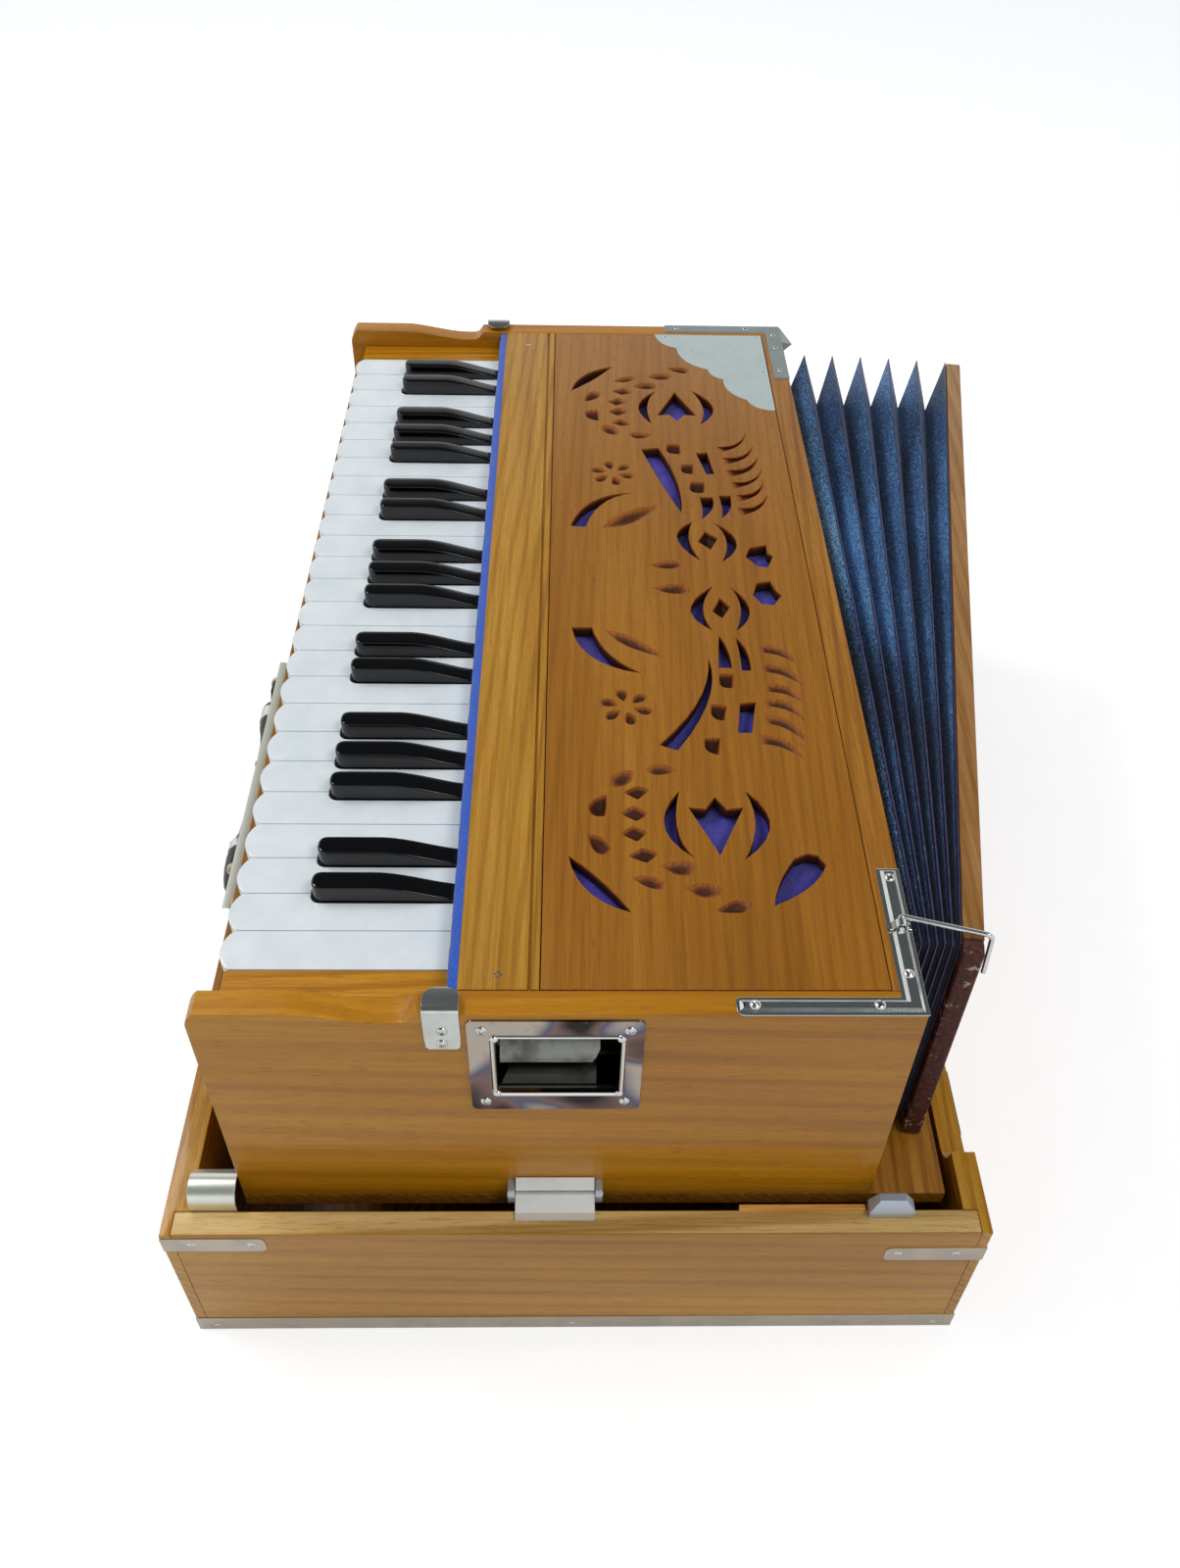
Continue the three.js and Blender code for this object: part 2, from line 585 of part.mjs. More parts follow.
// The flower group near each end, cut alike at both ends of the panel
const endCutShares = [
  [[59.4, 43.5], [74.4, 47.1], [74.4, 47.1], [67.2, 38.4], [74.4, 47.1], [67.9, 42.1]],
  [[59.4, 65.3], [74.8, 62.4], [74.8, 62.4], [67.1, 71.6], [74.8, 62.4], [67.1, 67]],
  [[84.2, 69.5], [74.4, 77.6], [75.8, 87.1], [79, 72.5], [73.3, 84], [80.3, 80.9]],
  [[73.9, 7.5], [85.3, 26.8], [85.3, 26.8], [81.1, 13.8], [85.3, 26.8], [79.2, 18.2]],
];
const farEndShift = 2.1;
const straightCutShares = [
  [[37.3, 66.7], [37, 72.1], [45, 69.7], [45, 65.1]],
  [[60.7, 54.7], [63.6, 58.2], [63.1, 63.9], [73.6, 54.6], [63.3, 46.3], [63.6, 51.5]],
  [[-58.6, 54.7], [-61.5, 58.2], [-61, 63.9], [-71.5, 54.6], [-61.2, 46.3], [-61.5, 51.5]],
  [[10.9, 60.9], [7.1, 64.6], [9.8, 67.6], [13.3, 64.6]],
  [[2.3, 79.3], [1.5, 84.8], [4.2, 85.7], [5.8, 87.9], [9, 84.4], [8.6, 80.1], [5.9, 77.1]],
  [[-12, 58.5], [-15.3, 61.9], [-12.8, 66.7], [-9.2, 63]],
  [[-9.7, 78.7], [-10.7, 85.1], [-8, 85.1], [-6.8, 87.1], [-3.1, 84.6], [-3.5, 80.3], [-6.7, 76.6]],
  [[-45.3, 62], [-45.5, 66.6], [-36.7, 68.2], [-36.7, 64.9]],
];
const hundredth = 1 / 100;
const panelHalfLength = panelInner - seat;
const panelDepth = panelRear - panelFront;
const onPanel = ([x, y]) => [
  x * hundredth * panelHalfLength,
  panelFront + y * hundredth * panelDepth,
];

// Side from a to b whose middle passes through the given point
function sidePoints(a, middle, b) {
  const bend = new THREE.QuadraticBezierCurve(
    new THREE.Vector2(...a),
    new THREE.Vector2(2 * middle[0] - (a[0] + b[0]) / 2, 2 * middle[1] - (a[1] + b[1]) / 2),
    new THREE.Vector2(...b));
  return bend.getPoints(curveSteps).slice(0, curveSteps).map((p) => [p.x, p.y]);
}

function cutOutline(row) {
  const [tip, heel, otherHeel, side, end, otherSide] = row.map(onPanel);
  const points = sidePoints(tip, side, heel);
  const pointed = heel[0] === otherHeel[0] && heel[1] === otherHeel[1];
  if (!pointed) points.push(...sidePoints(heel, end, otherHeel));
  points.push(...sidePoints(otherHeel, otherSide, tip));
  return points;
}

const farEndCutShares = endCutShares.map((row) => row.map(([x, y]) => [farEndShift - x, y]));
const outlines = [...nearCutShares, ...farCutShares, ...endCutShares, ...farEndCutShares].map(cutOutline);
outlines.push(...straightCutShares.map((row) => row.map(onPanel)));
let panel = box(-panelHalfLength, panelHalfLength, panelFront, panelRear,
  caseTop - panelThickness, caseTop);
for (const outline of outlines) {
  panel = panel.subtract(standing(outline, caseTop - panelThickness - cutMargin, caseTop + cutMargin));
}
addPart('carved_panel', panel, teak);

// Cup handles: face plate, recessed cup and a sloping finger lip
for (const [name, side] of [['cup_handle_near', 1], ['cup_handle_far', -1]]) {
  const span = (inner, outer) => [inner, outer].map((reach) => side * reach).sort((a, b) => a - b);
  const face = caseHalfLength + cupPlateThickness;
  const plate = span(caseHalfLength, face);
  const shell = span(caseHalfLength - cupDepth, caseHalfLength + cupPlateThickness / 2);
  const hollow = span(caseHalfLength - cupDepth + cupWall, face + cutMargin);
  const lip = [
    [caseHalfLength, cupTop + cupWall / 2],
    [caseHalfLength - lipReach, cupTop - lipDrop],
    [caseHalfLength - lipReach - cupWall, cupTop - lipDrop],
    [caseHalfLength - cupWall * 2, cupTop + cupWall / 2],
  ].map(([x, z]) => [side * x, z]);
  if (side > 0) lip.reverse();
  const cup = box(plate[0], plate[1], cupPlateFront, cupPlateRear, cupPlateBottom, cupPlateTop)
    .add(box(shell[0], shell[1], cupFront - cupWall, cupRear + cupWall,
      cupBottom - cupWall, cupTop + cupWall))
    .subtract(box(hollow[0], hollow[1], cupFront, cupRear, cupBottom, cupTop))
    .add(crosswise(lip, cupFront - cupWall / 2, cupRear + cupWall / 2));
  addPart(name, cup, chrome);
}

// Folding end supports: a pin barrel with a leaf that stands on the tray's rim
for (const [name, side] of [['support_near', 1], ['support_far', -1]]) {
  const leaf = [
    [supportPinX, supportPinZ + supportBarrel],
    [supportPinX + supportLeaf, supportPinZ + supportBarrel],
    [supportFootInner + supportLeaf, trayHeight + seat + supportLeaf],
    [supportFootOuter, trayHeight + seat + supportLeaf],
    [supportFootOuter, trayHeight + seat],
    [supportFootInner, trayHeight + seat],
    [supportPinX, supportPinZ],
  ].map(([x, z]) => [side * x, z]);
  if (side > 0) leaf.reverse();
  const support = crosswise(leaf, supportFront, supportRear)
    .add(crossRod(supportBarrel, supportFront, supportRear, side * supportPinX, supportPinZ))
    .add(crossRod(supportBarrel / 2, supportFront - supportPinProud, supportRear + supportPinProud,
      side * supportPinX, supportPinZ));
  addPart(name, support, aluminium);
}

// Point on an upright plane turned about the near-end hinge line, at run from the hinge and height z
function onFold(baseY, turn, run, z) {
  return new THREE.Vector3(hingeX - run * Math.cos(turn), baseY + run * Math.sin(turn), z);
}

// Ring of card between three upright planes: its four corners, six points round each
function foldRing(planes) {
  const positions = [];
  const indices = [];
  const near = hingeX - bellowsHalfLength;
  const far = hingeX + bellowsHalfLength;
  const corners = [
    { run: near, z: bellowsBottom, inwardRun: 1, inwardZ: 1, crease: nearCrease },
    { run: far, z: bellowsBottom, inwardRun: -1, inwardZ: 1, crease: farCrease },
    { run: far, z: bellowsTop, inwardRun: -1, inwardZ: -1, crease: farCrease },
    { run: near, z: bellowsTop, inwardRun: 1, inwardZ: -1, crease: nearCrease },
  ];
  for (const corner of corners) {
    for (const plane of planes) {
      const inset = plane.inset < 0 ? corner.crease : plane.inset;
      const point = onFold(plane.y, plane.turn,
        corner.run + corner.inwardRun * inset, corner.z + corner.inwardZ * inset);
      positions.push(point.x, point.y, point.z);
    }
  }
  const around = planes.length;
  for (let c = 0; c < corners.length; c += 1) {
    const next = (c + 1) % corners.length;
    for (let p = 0; p < around; p += 1) {
      const q = (p + 1) % around;
      const a = c * around + p;
      const b = next * around + p;
      const d = c * around + q;
      const e = next * around + q;
      // The inner faces turn their diagonals the same way as the outer ones, so the card keeps its thickness
      if (p >= around / 2) indices.push(a, b, e, a, e, d);
      else indices.push(a, b, d, b, e, d);
    }
  }
  const geometry = new THREE.BufferGeometry();
  geometry.setAttribute('position', new THREE.Float32BufferAttribute(positions, 3));
  geometry.setIndex(indices);
  return toSolid(geometry);
}

const ridgeY = (i) => firstRidgeY + i * foldPitch;
const ridgeTurn = (i) => firstRidgeTurn + i * foldStep;
for (let i = 0; i < foldCount - 1; i += 1) {
  const first = i === 0;
  const before = {
    y: first ? caseRear + foldGap : ridgeY(i) - foldPitch / 2 + foldGap / 2,
    turn: first ? 0 : ridgeTurn(i) - foldStep / 2,
  };
  const ridge = { y: ridgeY(i), turn: ridgeTurn(i) };
  const after = { y: ridgeY(i) + foldPitch / 2 - foldGap / 2, turn: ridgeTurn(i) + foldStep / 2 };
  const ring = foldRing([
    { ...before, inset: foldDepth },
    { ...ridge, inset: 0 },
    { ...after, inset: foldDepth },
    { ...after, inset: foldDepth + foldSkin },
    { ...ridge, inset: -1 },
    { ...before, inset: foldDepth + foldSkin },
  ]);
  addPart(`bellows_fold_${i + 1}`, ring, cloth);
}

// Bellows board with the last half fold glued round its inner face
const lastRidge = foldCount - 1;
const boardTurn = ridgeTurn(lastRidge);
const boardY = ridgeY(lastRidge) + boardLag;
const boardStart = onFold(boardY, boardTurn, -boardOverhang, 0);
const boardEnd = onFold(boardY, boardTurn, boardLength - boardOverhang, 0);
const outward = [Math.sin(boardTurn) * boardThickness, Math.cos(boardTurn) * boardThickness];
const board = standing([
  [boardStart.x, boardStart.y],
  [boardStart.x + outward[0], boardStart.y + outward[1]],
  [boardEnd.x + outward[0], boardEnd.y + outward[1]],
  [boardEnd.x, boardEnd.y],
], boardBottom, boardTop);
const lastValley = {
  y: ridgeY(lastRidge) - foldPitch / 2 + foldGap / 2,
  turn: boardTurn - foldStep / 2,
};
const lastHalf = foldRing([
  { ...lastValley, inset: foldDepth },
  { y: ridgeY(lastRidge), turn: boardTurn, inset: 0 },
  { y: boardY + boardLag, turn: boardTurn, inset: 0 },
  { y: boardY + boardLag, turn: boardTurn, inset: foldDepth + foldSkin },
  { ...lastValley, inset: foldDepth + foldSkin },
]);
addPart('bellows_board', board.add(lastHalf), teak);

// Wire hook: a pin under the corner bracket, a run over the near end of the bellows, a drop behind the board
const hookPoints = [
  new THREE.Vector3(hookPinX + hookPinLength, hookPinY, hookPinZ),
  new THREE.Vector3(hookPinX, hookPinY, hookPinZ),
  new THREE.Vector3(hookEndX, hookEndY, hookPinZ + hookRise),
  new THREE.Vector3(hookEndX + hookLean, hookEndY, hookPinZ - hookDrop),
];
const wirePath = new THREE.CurvePath();
let reached = hookPoints[0];
for (let i = 1; i < hookPoints.length - 1; i += 1) {
  const corner = hookPoints[i];
  const towards = (other) => corner.clone().add(
    other.clone().sub(corner).setLength(hookBend));
  const into = towards(hookPoints[i - 1]);
  const outOf = towards(hookPoints[i + 1]);
  wirePath.add(new THREE.LineCurve3(reached, into));
  wirePath.add(new THREE.QuadraticBezierCurve3(into, corner, outOf));
  reached = outOf;
}
wirePath.add(new THREE.LineCurve3(reached, hookPoints[hookPoints.length - 1]));
const wireSection = new THREE.Shape();
for (let i = 0; i < wireSteps; i += 1) {
  const turn = (i / wireSteps) * 4 * quarter;
  const point = [hookRadius * Math.cos(turn), hookRadius * Math.sin(turn)];
  if (i === 0) wireSection.moveTo(...point);
  else wireSection.lineTo(...point);
}
wireSection.closePath();
const wire = new THREE.ExtrudeGeometry(wireSection, {
  steps: wireLengths,
  extrudePath: wirePath,
  bevelEnabled: false,
});
addPart('bellows_hook', toSolid(wire), chrome);

// Carrying handle on the tray's front: plate with ears, and the moulded grip hanging on its pins
const frontFace = -trayHalfDepth;
const plateFace = frontFace - handlePlateThickness;
const pivotYHandle = frontFace - gripPivotOut;
const earOut = pivotYHandle - gripPinRadius * 2;
const pinEnd = gripHalfLength + earThickness + seat;
let plate = box(-handlePlateHalfLength, handlePlateHalfLength, plateFace, frontFace,
  handlePlateBottom, handlePlateTop);
for (const side of [-1, 1]) {
  const ends = [gripHalfLength + seat, gripHalfLength + seat + earThickness]
    .map((reach) => gripCentre + side * reach).sort((a, b) => a - b);
  plate = plate
    .add(box(ends[0], ends[1], earOut, plateFace + cutMargin / 2,
      gripPivotZ - gripPinRadius * 2, gripPivotZ + gripPinRadius * 2))
    .subtract(rod(gripPinRadius + seat, ends[0] - cutMargin, ends[1] + cutMargin,
      pivotYHandle, gripPivotZ));
}
addPart('carry_handle_plate', plate, steel);

const gripY = frontFace - gripAxisOut;
const gripShares = [
  [-1, 0], [-1, 0.8], [-0.97, 1], [-0.86, 1], [-0.84, 0.86], [-0.62, 0.6], [-0.36, 0.66], [-0.3, 0.54],
  [0.3, 0.54], [0.36, 0.66], [0.62, 0.6], [0.84, 0.86], [0.86, 1], [0.97, 1], [1, 0.8], [1, 0],
];
const gripProfile = gripShares.map(([along, out]) => new THREE.Vector2(
  Math.min(out, Math.max(out, gripWaist / gripRadius)) * gripRadius, along * gripHalfLength));
const gripLathe = new THREE.LatheGeometry(gripProfile, roundSteps);
gripLathe.rotateZ(-quarter);
gripLathe.translate(gripCentre, gripY, gripAxisZ);
let grip = toSolid(gripLathe);
for (const side of [-1, 1]) {
  const arm = [gripHalfLength - gripArm, gripHalfLength]
    .map((reach) => gripCentre + side * reach).sort((a, b) => a - b);
  const pin = [gripHalfLength - gripArm, pinEnd]
    .map((reach) => gripCentre + side * reach).sort((a, b) => a - b);
  const half = gripArmWidth / 2;
  const armOutline = [
    [gripY - half, gripAxisZ], [gripY + half, gripAxisZ],
    [pivotYHandle + half, gripPivotZ + half], [pivotYHandle - half, gripPivotZ + half],
  ];
  grip = grip
    .add(lengthwise(armOutline, arm[0], arm[1]))
    .add(rod(gripPinRadius, pin[0], pin[1], pivotYHandle, gripPivotZ));
}
addPart('carry_grip', grip, moulding);

// Origin at the middle of the whole footprint
const frontmost = gripY - gripRadius;
const rearmost = boardEnd.y + outward[1];
model.position.y = -(frontmost + rearmost) / 2;
const group = new THREE.Group();
group.add(model);

export default group;
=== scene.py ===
import math

import bmesh
import bpy
import numpy as np
from mathutils import Matrix, Vector, noise


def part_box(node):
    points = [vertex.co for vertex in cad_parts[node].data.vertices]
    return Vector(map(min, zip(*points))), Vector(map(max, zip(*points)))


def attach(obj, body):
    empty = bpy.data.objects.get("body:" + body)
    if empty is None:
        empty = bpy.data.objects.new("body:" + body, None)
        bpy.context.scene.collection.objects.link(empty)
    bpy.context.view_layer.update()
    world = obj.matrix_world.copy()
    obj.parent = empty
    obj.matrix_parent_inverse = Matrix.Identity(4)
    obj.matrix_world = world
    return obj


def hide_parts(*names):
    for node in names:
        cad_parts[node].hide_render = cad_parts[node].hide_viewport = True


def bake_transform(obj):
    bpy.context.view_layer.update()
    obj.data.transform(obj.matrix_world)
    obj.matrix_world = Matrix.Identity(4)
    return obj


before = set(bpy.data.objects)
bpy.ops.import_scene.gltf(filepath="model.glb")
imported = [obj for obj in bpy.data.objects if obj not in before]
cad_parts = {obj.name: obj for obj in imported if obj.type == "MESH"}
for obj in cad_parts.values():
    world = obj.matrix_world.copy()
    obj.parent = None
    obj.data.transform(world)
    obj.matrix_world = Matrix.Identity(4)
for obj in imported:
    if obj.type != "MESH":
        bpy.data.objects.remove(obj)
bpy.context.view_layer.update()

tray_low, tray_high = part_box("tray")
tray_middle = Vector(((tray_low.x + tray_high.x) / 2, (tray_low.y + tray_high.y) / 2, tray_low.z))


# The photograph's view
# The camera stands past the treble end and looks down across the keys. It was worked out from the
# straight edges of the case and the tray, in millimetres from the middle of the tray's underside.
def at(x, y, z):
    return tray_middle + Vector((x, y, z)) / 1000


camera_place = (619.205, -5.399, 717.279)
camera_right = Vector((0.013693, 0.99968, 0.021261)).normalized()
camera_up = Vector((-0.713905, -0.005113, 0.700223)).normalized()
camera_back = camera_right.cross(camera_up)

lens = bpy.data.cameras.new("view")
lens.lens = 30.726
lens.sensor_width = 36
lens.shift_x = -0.008544
lens.shift_y = -0.0008
lens.clip_start = 0.01
camera = bpy.data.objects.new("view", lens)
bpy.context.collection.objects.link(camera)
turn = Matrix((camera_right, camera_up, camera_back)).transposed().to_4x4()
camera.matrix_world = Matrix.Translation(at(*camera_place)) @ turn
bpy.context.scene.camera = camera
bpy.context.scene.view_settings.view_transform = "Standard"


# Floor, sky and lamps
# A pale floor in a white room with a grey ceiling, lit by two wide soft lamps overhead. The floor
# keeps the harmonium's shadow. The lens sees the room white; polish sees white walls, a dim ceiling.
class Reading:
    """A value read off one node, on which plain sums can be written."""

    def __init__(self, nodes, socket):
        self.nodes = nodes
        self.socket = socket

    def sum(self, operation, *values):
        return self.nodes.node("ShaderNodeMath", {"operation": operation}, dict(enumerate(values)))

    def __add__(self, other):
        return self.sum("ADD", self, other)

    def __radd__(self, other):
        return self.sum("ADD", other, self)

    def __sub__(self, other):
        return self.sum("SUBTRACT", self, other)

    def __rsub__(self, other):
        return self.sum("SUBTRACT", other, self)

    def __mul__(self, other):
        return self.sum("MULTIPLY", self, other)

    def __rmul__(self, other):
        return self.sum("MULTIPLY", other, self)

    def __truediv__(self, other):
        return self.sum("DIVIDE", self, other)

    def rising(self, low, high):
        """0 below low, 1 above high, and a soft step between them."""
        return self.nodes.node("ShaderNodeMapRange", {"interpolation_type": "SMOOTHSTEP"},
                               {"Value": self, "From Min": low, "From Max": high})


class Nodes:
    """A node tree that takes any node through one method: its kind, its settings, then its sockets."""

    def __init__(self, tree):
        self.tree = tree
        tree.nodes.clear()

    def node(self, kind, settings=(), sockets=(), output=0):
        added = self.tree.nodes.new(kind)
        for setting, value in dict(settings).items():
            if setting == "stops":
                while len(added.color_ramp.elements) < len(value):
                    added.color_ramp.elements.new(1)
                for element, (place, shade) in zip(added.color_ramp.elements, value):
                    element.position = place
                    element.color = shade
            else:
                setattr(added, setting, value)
        for socket, value in dict(sockets).items():
            if isinstance(value, Reading):
                self.tree.links.new(value.socket, added.inputs[socket])
            else:
                added.inputs[socket].default_value = value
        return Reading(self, added.outputs[output]) if added.outputs else None


class Finish(Nodes):
    """The nodes of one surface finish."""

    def __init__(self, name):
        self.material = bpy.data.materials.new(name)
        self.material.use_nodes = True
        super().__init__(self.material.node_tree)

    def places(self, stretch=(1, 1, 1), shift=(0, 0, 0)):
        place = self.node("ShaderNodeTexCoord", output=3)
        return self.node("ShaderNodeVectorMath", {"operation": "MULTIPLY_ADD"},
                         {0: place, 1: stretch, 2: shift})

    def clouds(self, place, scale, detail=2.0, roughness=0.5, distortion=0.0):
        return self.node("ShaderNodeTexNoise", {}, {"Vector": place, "Scale": scale, "Detail": detail,
                                                    "Roughness": roughness, "Distortion": distortion})

    def mixed(self, share, first, second):
        return self.node("ShaderNodeMix", {"data_type": "RGBA"}, {0: share, 6: first, 7: second}, output=2)

    def shades(self, reading, stops):
        return self.node("ShaderNodeValToRGB", {"stops": stops}, {0: reading})

    def surface(self, colour, roughness, height=None, lift=0.0002, strength=0.5, **fixed):
        sockets = {"Base Color": colour, "Roughness": roughness}
        if height is not None:
            sockets["Normal"] = self.node("ShaderNodeBump", {}, {"Strength": strength, "Distance": lift,
                                                                 "Height": height})
        sockets.update({name.replace("_", " "): value for name, value in fixed.items()})
        shader = self.node("ShaderNodeBsdfPrincipled", {}, sockets)
        self.node("ShaderNodeOutputMaterial", {}, {"Surface": shader})
        return self.material


def paint(red, green, blue):
    """A colour as it is seen, in 0 to 255, as the light that a surface gives back."""
    shares = [value / 255 for value in (red, green, blue)]
    return (*[s / 12.92 if s <= 0.04045 else ((s + 0.055) / 1.055) ** 2.4 for s in shares], 1)


floor_size = 6.0
floor_finish = Finish("studio_floor")
speckle = floor_finish.clouds(floor_finish.places(), 40.0)
pale = floor_finish.node("ShaderNodeBsdfDiffuse", {}, {
    "Color": floor_finish.shades(speckle, [(0.3, (0.86, 0.86, 0.86, 1)), (0.7, (0.88, 0.88, 0.88, 1))])})
glow = floor_finish.node("ShaderNodeEmission", {}, {"Color": (1, 1, 1, 1), "Strength": 0.42})
lit = floor_finish.node("ShaderNodeAddShader", {}, {0: pale, 1: glow})
seen = floor_finish.node("ShaderNodeLightPath", output=0)
floor_finish.node("ShaderNodeOutputMaterial", {}, {
    "Surface": floor_finish.node("ShaderNodeMixShader", {}, {0: seen, 1: pale, 2: lit})})
floor_mesh = bpy.data.meshes.new("studio_floor")
half = floor_size / 2
floor_mesh.from_pydata([(-half, -half, 0), (half, -half, 0), (half, half, 0), (-half, half, 0)], [],
                       [(0, 1, 2, 3)])
floor_mesh.materials.append(floor_finish.material)
floor = bpy.data.objects.new("studio_floor", floor_mesh)
bpy.context.collection.objects.link(floor)

world = bpy.data.worlds.new("studio_room")
world.use_nodes = True
room = Nodes(world.node_tree)
facing = room.node("ShaderNodeSeparateXYZ", {}, {0: room.node("ShaderNodeTexCoord", output=0)}, output=2)
ceiling = facing.rising(0.42, 0.6)
rays = [room.node("ShaderNodeLightPath", output=which) for which in (0, 3, 6)]
wall = rays[0] + (rays[1] + rays[2]) * (1 - ceiling)
air = room.node("ShaderNodeBackground", {}, {"Color": (0.93, 0.96, 1, 1), "Strength": 0.52})
white = room.node("ShaderNodeBackground", {}, {"Color": (1, 1, 1, 1), "Strength": 1.0})
dim = room.node("ShaderNodeBackground", {}, {"Color": (0.9, 0.95, 1, 1), "Strength": 0.1})
upward = (rays[1] + rays[2]) * ceiling
room.node("ShaderNodeOutputWorld", {}, {"Surface": room.node("ShaderNodeMixShader", {}, {
    0: upward, 1: room.node("ShaderNodeMixShader", {}, {0: wall, 1: air, 2: white}), 2: dim})})
bpy.context.scene.world = world

lamps = [
    ("lamp_over_keys", (-300, -1100, 1900), (0, 0, 100), 1.1, 0.5, 16.0),
    ("lamp_behind", (900, 900, 1900), (0, 50, 100), 0.9, 0.5, 11.0),
]
for lamp_name, place, aim, wide, deep, power in lamps:
    lamp = bpy.data.lights.new(lamp_name, "AREA")
    lamp.shape = "RECTANGLE"
    lamp.size = wide
    lamp.size_y = deep
    lamp.energy = power
    hung = bpy.data.objects.new(lamp_name, lamp)
    hung.location = at(*place)
    hung.rotation_euler = (at(*aim) - at(*place)).to_track_quat("-Z", "Y").to_euler()
    bpy.context.collection.objects.link(hung)


# Tray boards
# A shallow open box of varnished teak boards, rabbeted together at the corners: two full-length walls
# lap the ends of the short ones. The rear wall is cut down between its posts to let the bellows swing.
def teak(name, along, shades, shift=0.0, lines=90.0, figure=0.16, streak=0.65, gloss=0.26):
    """Teak whose grain runs along x, y or z, from its dark, middle and light shades."""
    wood = Finish(name)
    offset = (shift, 0.31 + shift * 0.7, 0.17 - shift)

    def grain(squeeze):
        return wood.places([squeeze if axis == along else 1 for axis in "xyz"], offset)

    rings = wood.node("ShaderNodeTexWave", {"bands_direction": "DIAGONAL"},
                      {"Vector": grain(0.05), "Scale": lines, "Distortion": 11.0, "Detail": 3.0,
                       "Detail Scale": 0.25, "Detail Roughness": 0.6}, output=1).rising(0.5, 1.0)
    tone = wood.clouds(grain(0.22), 11.0, 2.0)
    streaks = wood.clouds(grain(0.018), lines * 2, 4.0, 0.68)
    strands = wood.clouds(grain(0.03), 620.0, 2.0, 0.6)
    pores = wood.clouds(grain(0.07), 1500.0, 1.0).rising(0.58, 0.7)
    depth = ((0.25 - rings) * figure + (tone - 0.5) * 0.6 + (streaks - 0.5) * streak
             + (strands - 0.5) * streak * 0.6 + 0.5)
    dark, middle, light = [paint(*shade) for shade in shades]
    colour = wood.shades(depth, [(0.18, dark), (0.5, middle), (0.82, light)])
    sunk = wood.mixed(pores * 0.4, colour, dark)
    height = strands * 0.35 - pores * 0.5 + wood.clouds(wood.places(), 26.0, 1.0) * 1.5
    return wood.surface(sunk, gloss + streaks * 0.14 + pores * 0.12, height, 0.0003, 0.35,
                        Specular_IOR_Level=0.25, Coat_Weight=0.24, Coat_Roughness=0.07)


class Piece:
    """Gathers shapes in millimetres, each in its finish, and settles them as one object on a body."""

    def __init__(self, name):
        self.name = name
        self.shape = bmesh.new()
        self.finishes = []

    def add(self, shape, finish, plane="top", walls=None):
        """Adds a shape: on top its places are x, y, z; on an end y, z, x; on a front x, z, y. Its
        steeper faces, and those below its top, can have a finish of their own."""
        order = {"top": (0, 1, 2), "end": (2, 0, 1), "front": (0, 2, 1)}[plane]
        for used in (finish, walls):
            if used and used not in self.finishes:
                self.finishes.append(used)
        look = self.finishes.index(finish)
        inner = self.finishes.index(walls or finish)
        shape.normal_update()
        top = max(vert.co.z for vert in shape.verts) - 0.01
        copies = {vert: self.shape.verts.new(at(*[vert.co[i] for i in order])) for vert in shape.verts}
        for face in shape.faces:
            cut = walls and not all(vert.co.z > top for vert in face.verts)
            copy = self.shape.faces.new([copies[vert] for vert in face.verts])
            copy.material_index = inner if cut else look
        shape.free()

    def settle(self, body, replaces=(), sharp=34):
        bmesh.ops.recalc_face_normals(self.shape, faces=self.shape.faces)
        mesh = bpy.data.meshes.new(self.name)
        self.shape.to_mesh(mesh)
        self.shape.free()
        for finish in self.finishes:
            mesh.materials.append(finish)
        return settle_mesh(self.name, mesh, body, replaces, sharp)


def settle_mesh(name, mesh, body, replaces=(), sharp=34):
    """Smooths a finished mesh between its sharp edges and makes it ride on its body."""
    mesh.shade_smooth()
    mesh.set_sharp_from_angle(angle=math.radians(sharp))
    made = bpy.data.objects.new(name, mesh)
    bpy.context.collection.objects.link(made)
    flats = made.modifiers.new("flats", "WEIGHTED_NORMAL")
    flats.keep_sharp = True
    made.data = bpy.data.meshes.new_from_object(made.evaluated_get(bpy.context.evaluated_depsgraph_get()))
    made.data.name = name
    made.modifiers.clear()
    bpy.data.meshes.remove(mesh)
    if body:
        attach(made, body)
    if replaces:
        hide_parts(*replaces)
    return made


def plank(x, y, z, edge=0.4):
    """A squared board between two places on each axis, its edges rounded over."""
    shape = bmesh.new()
    bmesh.ops.create_cube(shape, size=1)
    for vert in shape.verts:
        vert.co = Vector([low + (high - low) * (share + 0.5)
                          for share, (low, high) in zip(vert.co, (x, y, z))])
    bmesh.ops.bevel(shape, geom=shape.edges[:], offset=edge, segments=2, profile=0.5, affect="EDGES")
    return shape


def inset(outline, distance):
    """A closed outline moved towards its own inside."""
    here = np.array(outline, float)
    back = here - np.roll(here, 1, 0)
    following = np.roll(here, -1, 0)
    ahead = following - here
    wound = math.copysign(1, np.sum(here[:, 0] * following[:, 1] - here[:, 1] * following[:, 0]))
    normals = []
    for side in (back, ahead):
        side = side / np.maximum(np.linalg.norm(side, axis=1, keepdims=True), 1e-9)
        normals.append(np.stack([-side[:, 1], side[:, 0]], 1) * wound)
    spread = np.maximum(1 + np.sum(normals[0] * normals[1], 1, keepdims=True), 0.35)
    return here + distance * (normals[0] + normals[1]) / spread


